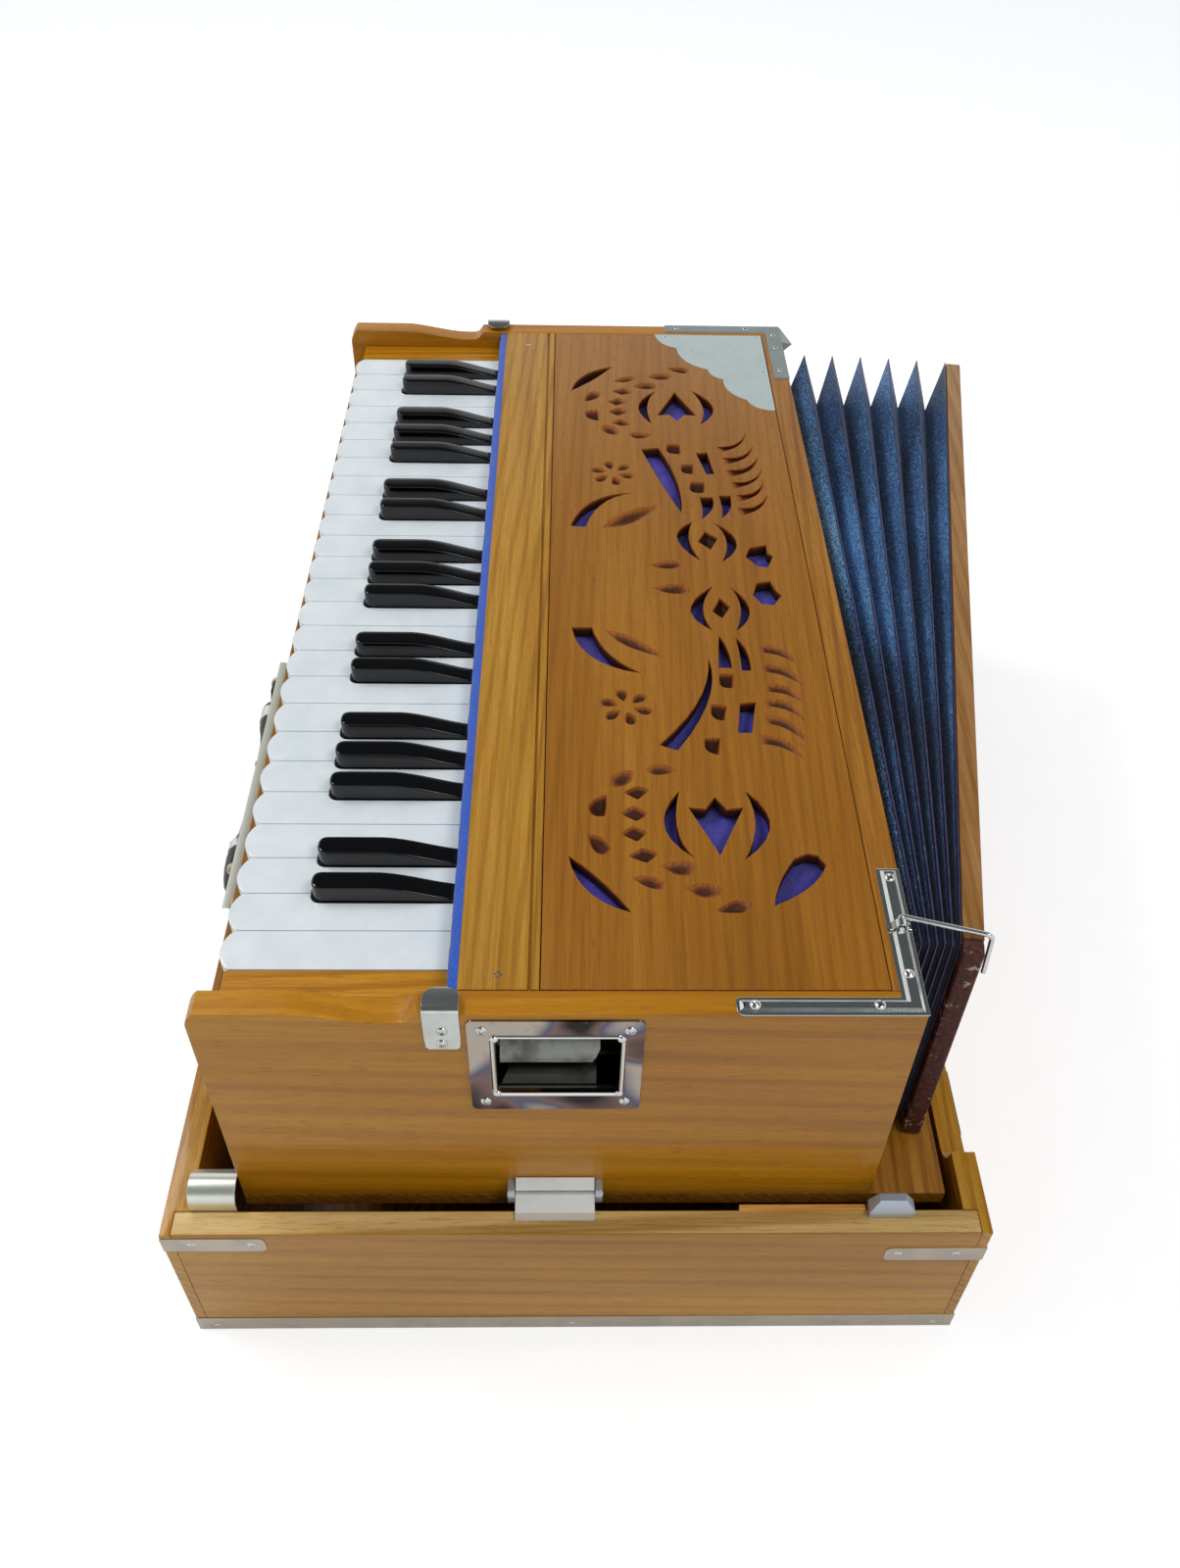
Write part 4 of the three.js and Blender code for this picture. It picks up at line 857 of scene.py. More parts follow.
cap_low = white_top - white_thickness
slot_end = [(slot_round * (1 - math.sin(t)), slot_round * (1 - math.cos(t)))
            for t in [s * math.pi / 12 for s in range(7)]]
for index in range(white_count):
    middle = white_left + (index + 0.5) * white_pitch
    half_width = (white_pitch - white_gap) / 2
    notch = white_pitch / 2 - black_width / 2 - clearance
    left = -notch if has_sharp(index - 1) else -half_width
    right = notch if has_sharp(index) else half_width
    outline = []
    for step in range(13):
        across = step / 6 - 1
        outline.append((middle + across * half_width, white_cusp - white_bulge * (1 - across ** 2) ** 0.8))
    if right < half_width:
        outline.append((middle + half_width, notch_front))
        outline += [(middle + right + u, notch_front + v) for u, v in slot_end]
    outline += [(middle + right, head_rear), (middle + left, head_rear)]
    if left > -half_width:
        outline += [(middle + left - u, notch_front + v) for u, v in reversed(slot_end)]
        outline.append((middle - half_width, notch_front))
    name = f"white_key_{letters[index % 7]}{index // 7 + 3}"
    key = Piece(name + "_looks")
    key.add(cut_board(outline, cap_low, white_top, 0.45, 0.3), ivory_plastic)
    add_stick(key, middle, (middle + left, middle + right), (
        ((notch_front, stick_rear), (stick_low, cap_low - 0.02)),
        ((head_rear + 0.05, stick_rear), (cap_low, stick_high))))
    key.settle(name, [name])


# Black keys
# Polished black caps with a rounded nose, upright sides and a top that falls away smoothly towards the
# felt, glued on the same pale sticks.
ebony = Finish("ebony_plastic")
ebony_clouds = ebony.clouds(ebony.places(), 60.0, 3.0, 0.6)
ebony_dust = ebony.clouds(ebony.places(), 900.0, 2.0, 0.7).rising(0.64, 0.8)
ebony_plastic = ebony.surface(ebony.mixed(ebony_dust * 0.05, paint(2, 2, 4), paint(50, 50, 56)),
                              0.06 + ebony_clouds * 0.06 + ebony_dust * 0.12, ebony_clouds, 0.0003, 0.3,
                              Specular_IOR_Level=0.4, Coat_Weight=0.3, Coat_Roughness=0.04)
black_foot, black_peak, black_fall, nose_round, edge_round = -122.2, 253.0, 8.6, 4.7, 1.0
nose_blunt, nose_drop, fall_start, fall_length = 1.6, 1.4, 28, 44
steps_back = [0.04, 0.25, 0.6, 1.1, 1.8, 2.7, 3.8, 5.0, 10, 18, 26, *range(30, 64, 3), head_rear - black_foot]
for index in range(white_count - 1):
    if not has_sharp(index):
        continue
    middle = white_left + (index + 1) * white_pitch
    rings = []
    for back in steps_back:
        tight = max(0, 1 - back / nose_round)
        side = black_width / 2 * (0.12 + 0.88 * math.sqrt(1 - tight ** 2.4))
        blunt = max(0, 1 - back / nose_blunt)
        fall = min(1, max(0, (back - fall_start) / fall_length))
        top = (black_peak - nose_drop * (1 - math.sqrt(1 - blunt ** 2))
               - black_fall * fall * fall * (3 - 2 * fall))
        inner = max(side - edge_round, side * 0.4)
        right_edge = [(middle + inner * 0.5, top), (middle + inner, top - 0.08),
                      (middle + (inner + side) / 2 + 0.12, top - 0.32), (middle + side, top - edge_round),
                      (middle + side, (top + cap_low) / 2), (middle + side, cap_low)]
        mirror = [(2 * middle - x, z) for x, z in reversed(right_edge)]
        rings.append([(x, black_foot + back, z) for x, z in right_edge + mirror])
    name = f"black_key_{letters[index % 7]}s{index // 7 + 3}"
    key = Piece(name + "_looks")
    key.add(skin(rings), ebony_plastic)
    add_stick(key, middle, (middle - stick_half, middle + stick_half), (
        ((black_foot + 1.8, head_rear), (stick_low, cap_low + 0.1)),
        ((head_rear + 0.05, stick_rear), (stick_low, stick_high))))
    key.settle(name, [name], sharp=46)


# Key rail
# A flat teak rail with a grooved rear edge lies over the keys' rear ends, held by a screw at each
# end; a strip of royal blue felt glued to its front face hushes the keys.
rail_teak = teak("key_rail_teak", "x", ((138, 90, 22), (172, 122, 36), (196, 150, 66)), 4.4)
rail_front, rail_rear, rail_low, groove_y = -52.6, -18.0, 243.5, -22.3
rail_section = [(rail_front, rail_low), (rail_rear, rail_low), (rail_rear, case_top - 0.5),
                (rail_rear - 0.5, case_top), (groove_y + 0.8, case_top), (groove_y + 0.25, case_top - 1.5),
                (groove_y - 0.25, case_top - 1.5), (groove_y - 0.8, case_top), (rail_front + 0.7, case_top),
                (rail_front, case_top - 0.7)]


def on_top(height, places):
    """Places (x, y) on a level face at a height, each facing up."""
    return [((x, y, height), (0, 0, 1)) for x, y in places]


rail = Piece("key_rail_looks")
rail.add(cut_board(rail_section, -287.6, 287.6, 0.15), rail_teak, "end")
rail.settle("case", ["key_rail"])
screws("rail_screws", "case", on_top(case_top - 0.5, [(279.9, -35.8), (-268.9, -36.4)]), 3.4, 0.6, 0.7)

felt = Finish("blue_felt")
fuzz = felt.clouds(felt.places(), 1400.0, 3.0, 0.8)
blue_felt = felt.surface(felt.shades(fuzz, [(0.3, paint(24, 52, 130)), (0.7, paint(58, 110, 222))]),
                         0.9 + fuzz * 0.05, fuzz, 0.0005, 0.8, Sheen_Weight=0.5, Sheen_Roughness=0.4)
felt_strip = Piece("blue_felt_strip")
felt_rings = []
felt_half, felt_low, felt_high, felt_front, felt_steps = 287.4, 244.9, 254.4, -57.2, 139
for step in range(felt_steps + 1):
    x = felt_half * (2 * step / felt_steps - 1)
    sway = noise.noise(Vector((x / 9, 1.7, 0))) * 0.35 + noise.noise(Vector((x / 31, 5.1, 0))) * 0.35
    high = felt_high + noise.noise(Vector((x / 14, 8.8, 0))) * 0.5
    front = felt_front + sway
    felt_rings.append([(x, y, z) for y, z in (
        (rail_front - 0.02, felt_low + 0.1), (front + 0.8, felt_low), (front, felt_low + 0.9),
        (front - 0.15, felt_low + 4.1), (front, high - 1.1), (front + 0.9, high - 0.2),
        ((front + rail_front) / 2, high), (rail_front - 0.02, high - 0.1))])
felt_strip.add(skin(felt_rings), blue_felt)
felt_strip.settle("case", sharp=60)


# Lining cloth
# A square-cut length of blue satin cloth stretched over the ledges under the carved panel; it shows
# through the cuts, with creases where it was pulled tight.
satin = Finish("blue_satin")
weave = satin.clouds(satin.places((1, 0.2, 1)), 2600.0, 2.0, 0.7)
creases = satin.clouds(satin.places((0.5, 1, 1)), 26.0, 3.0, 0.55, 0.6)
# Painted light and shade: the crease noise also colours the cloth in lighter and darker facets, which stand
# for light and shade on the creases. The fine tone of the weave is the cloth's own.
crease_shaded_satin = satin.shades(creases * 0.7 + weave * 0.3, [
    (0.3, paint(30, 18, 96)), (0.5, paint(46, 36, 152)), (0.72, paint(74, 62, 196))])
blue_satin = satin.surface(crease_shaded_satin, 0.42 + creases * 0.15, weave + creases * 2, 0.0008, 0.7,
                           Sheen_Weight=0.3)
cloth_length, cloth_depth, cloth_z, cloth_front = 574.0, 146.0, 248.78, -16.2
held_side, held_front, held_rear, held_fade = 274, -12, 118, 14
columns, rows = 240, 60
cloth_places, cloth_faces = [], []
for i in range(columns + 1):
    for j in range(rows + 1):
        x = -cloth_length / 2 + cloth_length * i / columns
        y = cloth_front + cloth_depth * j / rows
        inside = min(1, max(0, min(held_side - abs(x), y - held_front, held_rear - y)) / held_fade)
        slack = noise.fractal(Vector((x / 30, y / 22, 3.3)), 1.0, 2.2, 3) * 1.1
        pull = abs(noise.noise(Vector((x / 17 + y / 40, y / 60, 9.1)))) * 1.6
        cloth_places.append(at(x, y, cloth_z - inside * (0.5 + min(1.5, max(0, 0.6 + slack + pull)))))
for i in range(columns):
    for j in range(rows):
        a = i * (rows + 1) + j
        cloth_faces.append((a, a + rows + 1, a + rows + 2, a + 1))
lining_mesh = bpy.data.meshes.new("lining_cloth")
lining_mesh.from_pydata(cloth_places, [], cloth_faces)
lining_mesh.materials.append(blue_satin)
lining = settle_mesh("lining_cloth", lining_mesh, "case", sharp=180)


# Carved top panel
# A thin teak board laid in the top of the case, fretsawn and chiselled with leaves, crescents and
# flowers; the deep cuts go right through to the lining, the shallow ones are scooped with a gouge.
def curved(start, middle, end, steps):
    """Points from a start towards an end along a curve that passes by a middle point."""
    start, middle, end = [np.array(place, float) for place in (start, middle, end)]
    pull = 2 * middle - (start + end) / 2
    return [tuple((1 - t) ** 2 * start + 2 * t * (1 - t) * pull + t * t * end)
            for t in [step / steps for step in range(steps)]]


def leaf(tip, heel, other_heel, side, end, other_side):
    """A carved leaf, from its tip along one side to its heel, over the end and back along the other."""
    points = curved(tip, side, heel, 7)
    if heel != other_heel:
        points += curved(heel, end, other_heel, 3)
    return points + curved(other_heel, other_side, tip, 7)


through_leaves = [
    ((53, 75), (80, 73), (80, 80), (66, 74), (80, 76), (66, 79)),
    ((55, 84), (82, 85), (82, 90), (68, 85), (82, 88), (66, 89)),
    ((72, 68), (139, 39), (143, 48), (105, 61), (141, 43), (105, 66)),
    ((213, -6), (246, 22), (246, 22), (234, 3), (246, 22), (228, 9)),
    ((171, 47), (214, 52), (214, 52), (194, 39), (214, 52), (196, 45)),
    ((171, 79), (215, 75), (215, 75), (193, 89), (215, 75), (193, 82)),
    ((242, 86), (214, 98), (218, 112), (228, 90), (211, 107), (231, 103)),
    ((9, 75), (49, 72), (49, 72), (30, 61), (49, 72), (29, 68)),
    ((9, 84), (49, 85), (49, 85), (30, 94), (49, 85), (27, 89)),
    ((85, 32), (47, -5), (47, 6), (72, 6), (47, 1), (69, 15)),
    ((-54, 67), (-14, 70), (-14, 70), (-37, 57), (-14, 70), (-35, 64)),
    ((-54, 79), (-14, 82), (-14, 82), (-34, 92), (-14, 82), (-36, 86)),
    ((-57, 73), (-80, 73), (-80, 81), (-68, 74), (-80, 77), (-68, 80)),
    ((-58, 85), (-82, 85), (-82, 92), (-69, 86), (-82, 88), (-68, 91)),
    ((-63, 61), (-134, 39), (-136, 50), (-96, 50), (-135, 44), (-98, 60)),
    ((-84, 33), (-49, -6), (-48, 3), (-75, 8), (-48, -2), (-73, 14)),
]
scooped_leaves = [
    ((85, 73), (85, 80), (96, 79), (85, 77), (90, 80), (94, 73), 5.2),
    ((109, 67), (110, 75), (121, 73), (109, 71), (115, 74), (118, 67), 5.2),
    ((134, 62), (134, 70), (146, 68), (134, 66), (140, 69), (142, 62), 5.2),
    ((50, 14), (72, 45), (72, 45), (55, 27), (72, 45), (62, 24), 2.4),
    ((-97, 69), (-97, 77), (-85, 76), (-97, 73), (-91, 77), (-87, 68), 5.2),
    ((-116, 64), (-117, 71), (-106, 71), (-117, 67), (-111, 71), (-108, 64), 5.2),
    ((-140, 56), (-140, 64), (-129, 64), (-141, 60), (-135, 64), (-131, 56), 5.2),
    ((-47, 13), (-70, 47), (-70, 47), (-64, 28), (-70, 47), (-52, 31), 2.4),
    ((11, 40), (7, 59), (16, 60), (8, 50), (12, 62), (16, 50), 2.4),
    ((-10, 40), (-15, 57), (-10, 59), (-14, 49), (-13, 60), (-7, 50), 2.4),
    ((78, 116), (60, 96), (67, 96), (65, 109), (64, 96), (70, 107), 2.8),
    ((95, 117), (76, 96), (83, 96), (81, 110), (80, 96), (86, 107), 2.8),
    ((109, 116), (92, 96), (99, 96), (96, 109), (96, 96), (101, 107), 2.8),
    ((122, 114), (104, 95), (110, 95), (108, 108), (107, 95), (113, 106), 2.8),
    ((137, 113), (117, 94), (123, 94), (122, 107), (120, 94), (127, 104), 2.8),
    ((149, 110), (131, 90), (138, 90), (136, 103), (134, 90), (141, 101), 2.8),
    ((-156, 108), (-138, 88), (-132, 90), (-142, 101), (-135, 89), (-141, 103), 2.8),
    ((-140, 111), (-125, 90), (-117, 91), (-128, 104), (-121, 91), (-126, 106), 2.8),
    ((-126, 113), (-111, 92), (-103, 93), (-114, 105), (-107, 92), (-112, 108), 2.8),
    ((-112, 114), (-97, 94), (-90, 95), (-100, 107), (-94, 94), (-99, 109), 2.8),
    ((-99, 114), (-83, 96), (-76, 97), (-87, 108), (-79, 96), (-85, 110), 2.8),
    ((-84, 115), (-69, 96), (-61, 97), (-72, 108), (-65, 96), (-70, 110), 2.8),
]
end_scoops = [
    ((157, 47), (155, 33), (159, 33), (153, 39), (157, 32), (160, 39), 2.4),
    ((158, 25), (163, 14), (169, 16), (158, 19), (166, 14), (166, 23), 2.4),
    ((174, 12), (182, 3), (188, 11), (177, 6), (187, 5), (182, 12), 4.6),
    ((199, 3), (211, 7), (208, 14), (206, 4), (212, 11), (202, 10), 3.4),
    ((219, 36), (217, 51), (224, 50), (216, 44), (220, 52), (224, 43), 2.4),
    ((226, 23), (228, 36), (233, 36), (225, 30), (230, 38), (231, 29), 2.4),
    ((232, 47), (230, 61), (237, 60), (229, 54), (234, 63), (237, 53), 2.4),
    ((245, 60), (238, 72), (246, 72), (240, 66), (242, 76), (246, 65), 3.0),
]
end_diamonds = [((172, 20), (168, 27), (170, 33), (177, 27)), ((186, 18), (181, 25), (186, 32), (191, 26)),
                ((199, 18), (194, 24), (198, 31), (204, 26)), ((213, 21), (208, 28), (211, 36), (217, 30))]
through_shapes = [
    ((108, 82), (107, 90), (130, 86), (130, 79)), ((-130, 74), (-131, 81), (-106, 84), (-106, 79)),
    ((175, 64), (183, 69), (182, 77), (212, 64), (182, 51), (183, 59)),
    ((6, 100), (4, 108), (12, 110), (17, 113), (26, 108), (25, 101), (17, 97)),
    ((-28, 99), (-31, 109), (-23, 109), (-20, 112), (-9, 108), (-10, 102), (-19, 96)),
]
deep_diamonds = [((32, 73), (20, 78), (28, 83), (38, 78)), ((-34, 69), (-44, 74), (-37, 81), (-26, 76))]
end_mirror, gouged, chiselled = 6.0, 0.06, 0.5


def mirrored(shape):
    return [(end_mirror - x, y) for x, y in shape]


far_end = [mirrored(row) for row in through_leaves[3:7] if row[0] != (242, 86)]
through_cuts = [leaf(*row) for row in through_leaves + far_end]
through_cuts += [list(shape) for shape in through_shapes] + [mirrored(through_shapes[2])]
scoops = [(leaf(*row[:6]), row[6], gouged) for row in scooped_leaves + end_scoops]
scoops += [(leaf(*mirrored(row[:6])), row[6], gouged) for row in end_scoops]
for diamond in end_diamonds:
    for outline in (list(diamond), mirrored(diamond)):
        scoops.append((rounded(outline, 1.2, 2), 3.6, gouged))
scoops += [(list(diamond), 5.6, chiselled) for diamond in deep_diamonds]
flower_middles, petal_count, petal_turn, petal_depth = ((111, 23), (-106, 20)), 6, 12, 3.0
petal_half = [(6.2, 1.5), (9, 2.8), (11.6, 2.7), (13.2, 1.4)]
petal_edge = [(4.2, 0)] + petal_half + [(13.7, 0)] + [(r, -w) for r, w in reversed(petal_half)]
for flower_middle in flower_middles:
    for petal in range(petal_count):
        turn = math.radians(360 // petal_count * petal + petal_turn)
        outward = np.array((math.cos(turn), math.sin(turn)))
        across = np.array((-outward[1], outward[0]))
        middle = np.array(flower_middle)
        share = [middle + outward * r + across * w for r, w in petal_edge]
        scoops.append(([tuple(place) for place in share], petal_depth, gouged))

panel_teak = teak("carved_panel_teak", "x", ((116, 68, 10), (148, 94, 20), (170, 116, 34)),
                  0.15, 90.0, 0.08, 0.5)
cut_teak = Finish("fresh_cut_teak")
cut_place = cut_teak.node("ShaderNodeTexCoord", output=3)
depth_in = cut_teak.node("ShaderNodeSeparateXYZ", {}, {0: cut_place}, output=2)
lit_rim = depth_in.rising(at(0, 0, 249.5).z, at(0, 0, case_top).z)
torn = cut_teak.clouds(cut_teak.places((0.05, 1, 1)), 700.0, 3.0, 0.7)
cut_shares = torn.rising(0.35, 0.7) * 0.5
# Painted shade: the deeper the cut walls lie below the panel's top, the darker they are coloured, and they
# grow lighter towards the lit rim. The torn fibres are the wood's own.
cut_shades = cut_teak.shades(lit_rim, [
    (0.0, paint(46, 18, 4)), (0.75, paint(78, 34, 6)), (1.0, paint(166, 96, 26))])
cut_wood = cut_teak.surface(
    cut_teak.mixed(cut_shares, cut_shades, paint(50, 20, 4)),
    0.5 + torn * 0.2, torn, 0.0004, 0.6, Specular_IOR_Level=0.25)
panel_low, panel_high = 249.02, case_top
panel_outline = oblong((-287.6, 287.6), (-17.55, 130.8))
panel = Piece("carved_panel_looks")
panel_shape = cut_board(panel_outline, panel_low, panel_high, 0.3, 0.1, through_cuts, scoops)
panel.add(panel_shape, panel_teak, walls=cut_wood)
panel.settle("case", ["carved_panel"])


# Corner brackets, corner plate and lid clips
# Pressed bright-metal angles on the rear corners, the near one ridged and with a loop that holds the
# bellows hook; a scalloped plate on the panel's far corner; a bent clip on each end panel that the lid
# springs over. All are put on with small domed screws or pins.
bracket_steel = metal("bracket_steel", (214, 220, 216), 0.09, "y", 0.35, (0.42, 0.46, 0.4, 1), 0.3)
dull_plate = metal("dull_corner_plate", (206, 220, 218), 0.34, "y", 0.3, (0.52, 0.6, 0.58, 1), 0.12, 0.6)
bracket_plate = metal("far_bracket_plate", (164, 174, 172), 0.3, "y", 0.35, (0.3, 0.34, 0.33, 1), 0.12, 0.8)

near_bracket = Piece("near_corner_bracket")
near_outline = rounded([(291.6, 64.2, 2.6), (300.8, 64.2, 3.8), (300.8, 144.9, 0.4), (220.4, 144.9, 0.4),
                        (220.4, 134.2, 0.4), (291.6, 134.2, 0.3)], 0.4, 4)
near_bracket.add(cut_board(near_outline, case_top, case_top + 0.5, 0.3, 0), bracket_steel)
ridge_outline = [(293.4, 65.6), (298.6, 65.6), (299.3, 66.6), (299.3, 143.3), (221.6, 143.3), (221.6, 136.0),
                 (293.2, 136.0), (293.2, 66.6)]
near_bracket.add(skin([[(x, y, z) for x, y in inset(ridge_outline, inward)] for inward, z in (
    (0, case_top + 0.45), (1.5, case_top + 1.6), (2.1, case_top + 1.7))]), bracket_steel)
loop_y, loop_z, loop_wide, loop_high = 139.8, 257.9, 2.3, 2.1
loop_path = [(134.8, case_top + 1.5), (136.2, case_top + 1.6), (137.0, 258.2)]
for step in range(9):
    t = math.pi * (1 - step / 8)
    loop_path.append((loop_y + loop_wide * math.cos(t), loop_z + loop_high * math.sin(t)))
loop_path += [(142.6, 258.2), (143.2, case_top + 1.6), (144.4, case_top + 1.4)]
near_bracket.add(bent_strip(loop_path, 252.7, 256.7, 0.5, "x"), bracket_steel)
near_bracket.settle("case", sharp=28)
screws("near_bracket_screws", "case", on_top(case_top + 1.5, [
    (226.7, 139.6), (280.3, 139.2), (296.2, 124.3), (296.2, 72.0)]), 2.5, 1.2)

far_bracket = Piece("far_corner_bracket")
far_outline = rounded([(-291.2, 61.3), (-301.0, 61.3), (-301.0, 144.9), (-226.0, 144.9), (-226.0, 134.0),
                       (-291.2, 134.0)], 0.8, 3)
far_bracket.add(cut_board(far_outline, case_top, case_top + 0.7, 0.25, 0), bracket_plate)
far_bracket.add(skin([
    [(-277.5, 144.7, case_top + 0.4), (-301.0, 144.7, case_top + 0.4), (-301.0, 144.7, 231.0)],
    [(-279.0, 152.6, case_top - 1.5), (-300.4, 145.4, case_top + 0.2), (-300.4, 145.4, 232.0)]]),
    bracket_plate)
far_bracket.settle("case", sharp=28)
screws("far_bracket_screws", "case", on_top(case_top + 0.6, [
    (-287.7, 139.3), (-269.0, 139.4), (-236.6, 139.2), (-296.4, 69.9), (-296.6, 119.9)]), 1.8, 0.9)

scallop_cusps = [(-287.0, 53.8), (-267.5, 68.4), (-237.3, 88.7), (-224.0, 98.6), (-196.8, 112.4),
                 (-183.1, 127.6)]
plate_edge = []
for start, end in zip(scallop_cusps, scallop_cusps[1:]):
    start, end = np.array(start), np.array(end)
    chord = end - start
    outward = np.array((chord[1], -chord[0])) / np.linalg.norm(chord)
    plate_edge += curved(start, (start + end) / 2 + outward * np.linalg.norm(chord) * 0.16, end, 7)
plate_edge += [(-183.1, 127.6), (-183.6, 130.4), (-287.0, 130.4)]
corner_plate = Piece("scalloped_corner_plate")
corner_plate.add(cut_board(plate_edge, case_top, case_top + 0.45, 0.15, 0), dull_plate)
corner_plate.settle("case")
screws("corner_plate_pins", "case", on_top(case_top + 0.4, [
    (-283.8, 61.0), (-283.8, 126.6), (-234.0, 126.8), (-192.0, 126.2), (-262.0, 79.0),
    (-222.5, 106.5)]), 1.0, 0.5, 0.05)

clips = Piece("lid_clips")
clip_front, clip_rear, clip_side, clip_bend, clip_shoulder = -66.4, -50.9, 301.15, 3.4, 255.6
tongue_start, tongue_length, foot_top, foot_taper = 294, 5.6, 233.5, 9
for side in (-1, 1):
    path = [(side * clip_side, z) for z in (231.6, 233, 240, 250, 255.2)]
    for step in range(1, 9):
        t = step / 8 * math.radians(86)
        path.append((side * (clip_side - clip_bend * (1 - math.cos(t))),
                     clip_shoulder + clip_bend * math.sin(t)))
    path += [(side * x, z) for x, z in (
        (295.4, 258.9), (292.6, 258.6), (290.4, 258.3), (289.4, 258.15), (288.8, 258.0))]
    strip = bent_strip(path, clip_front, clip_rear, 0.8)
    middle = (clip_front + clip_rear) / 2
    for vert in strip.verts:
        reach = abs(vert.co.x)
        pull = 1
        if reach < tongue_start and vert.co.z > clip_shoulder:
            pull = math.sqrt(max(0.1, 1 - ((tongue_start - reach) / tongue_length) ** 2))
        if vert.co.z < foot_top:
            pull = 1 - (foot_top - vert.co.z) / foot_taper
        vert.co.y = middle + (vert.co.y - middle) * pull
    clips.add(strip, bracket_steel)
clips.settle("case", sharp=50)
screws("clip_screws", "case", on_ends(301.6, [(-58.5, 244.8), (-58.9, 235.8)]), 2.5, 1.3)


# Cup handles
# A chromed face plate with a rolled rim round a pressed cup, let into each end panel, with two bent
# strips for the fingers across the cup. One domed screw holds each corner.
chrome = Finish("cup_chrome")
# Painted reflection: the chrome is coloured in wavy dark, pinkish, bluish and pale patches that stand for the
# room it reflects, and the same waves bump it. The grime is real dirt.
painted_reflection_waves = chrome.clouds(chrome.places((1, 1, 1.4), (0.1, 0.4, 0.2)), 15.0, 1.0, 0.4, 1.2)
grime = chrome.clouds(chrome.places(), 180.0, 3.0, 0.7).rising(0.56, 0.74)
grime_share = grime * 0.4
painted_reflection_shades = chrome.shades(painted_reflection_waves, [(0.36, paint(44, 38, 40)), (0.45, paint(128, 104, 98)),
                                     (0.5, paint(92, 98, 122)), (0.6, paint(186, 176, 164))])
cup_chrome = chrome.surface(
    chrome.mixed(grime_share, painted_reflection_shades, paint(110, 100, 84)),
    0.08 + grime * 0.2, painted_reflection_waves, 0.0004, 0.35, Metallic=1.0)
rolled_steel = metal("rolled_rim_steel", (226, 226, 224), 0.07, "z", 0.2)
# Painted shade: deep inside, the pressed cup is coloured near-black in cloudy dark tones, and it turns to
# bright steel only at its rim by the face plate. The clouds also bump it.
shaded_cup = Finish("cup_steel")
from_middle = shaded_cup.node("ShaderNodeSeparateXYZ", {}, {0: shaded_cup.places()}, output=0)
outer = (from_middle * from_middle).rising(0.297 ** 2, 0.3012 ** 2)
shade_clouds = shaded_cup.clouds(shaded_cup.places(), 70.0, 3.0, 0.6)
cup_steel = shaded_cup.surface(
    shaded_cup.mixed(outer, shaded_cup.shades(shade_clouds, [(0.35, paint(14, 13, 12)), (0.6, paint(58, 54, 48))]),
                    paint(226, 226, 224)), 0.42 - outer * 0.34, shade_clouds, 0.0002, 0.2, Metallic=1.0)
# Painted shade: the finger strips are a dark grey with heavy near-black patches, which stand for the shade
# and the dark reflections inside the cup.
blade_steel = metal("grip_blade_steel", (128, 130, 124), 0.12, "y", 0.7, (0.05, 0.045, 0.04, 1), 0.4)
plate_front, plate_rear, plate_low, plate_high = -48.5, 26.5, 183.2, 252.0
mouth_front, mouth_rear, mouth_low, mouth_high = -37.0, 17.0, 197.3, 239.6
cup_back = 20.0
upper_lip = [(283, 229.6), (286.6, 226.4), (290.2, 223.0), (293.4, 219.4), (295.6, 216.2), (296.2, 214.2),
             (295.4, 213.0), (293.8, 212.8)]
lower_lip = [(283.2, 203.6), (287.5, 202.6), (291.5, 201.2), (295, 199.8), (297.8, 198.6)]

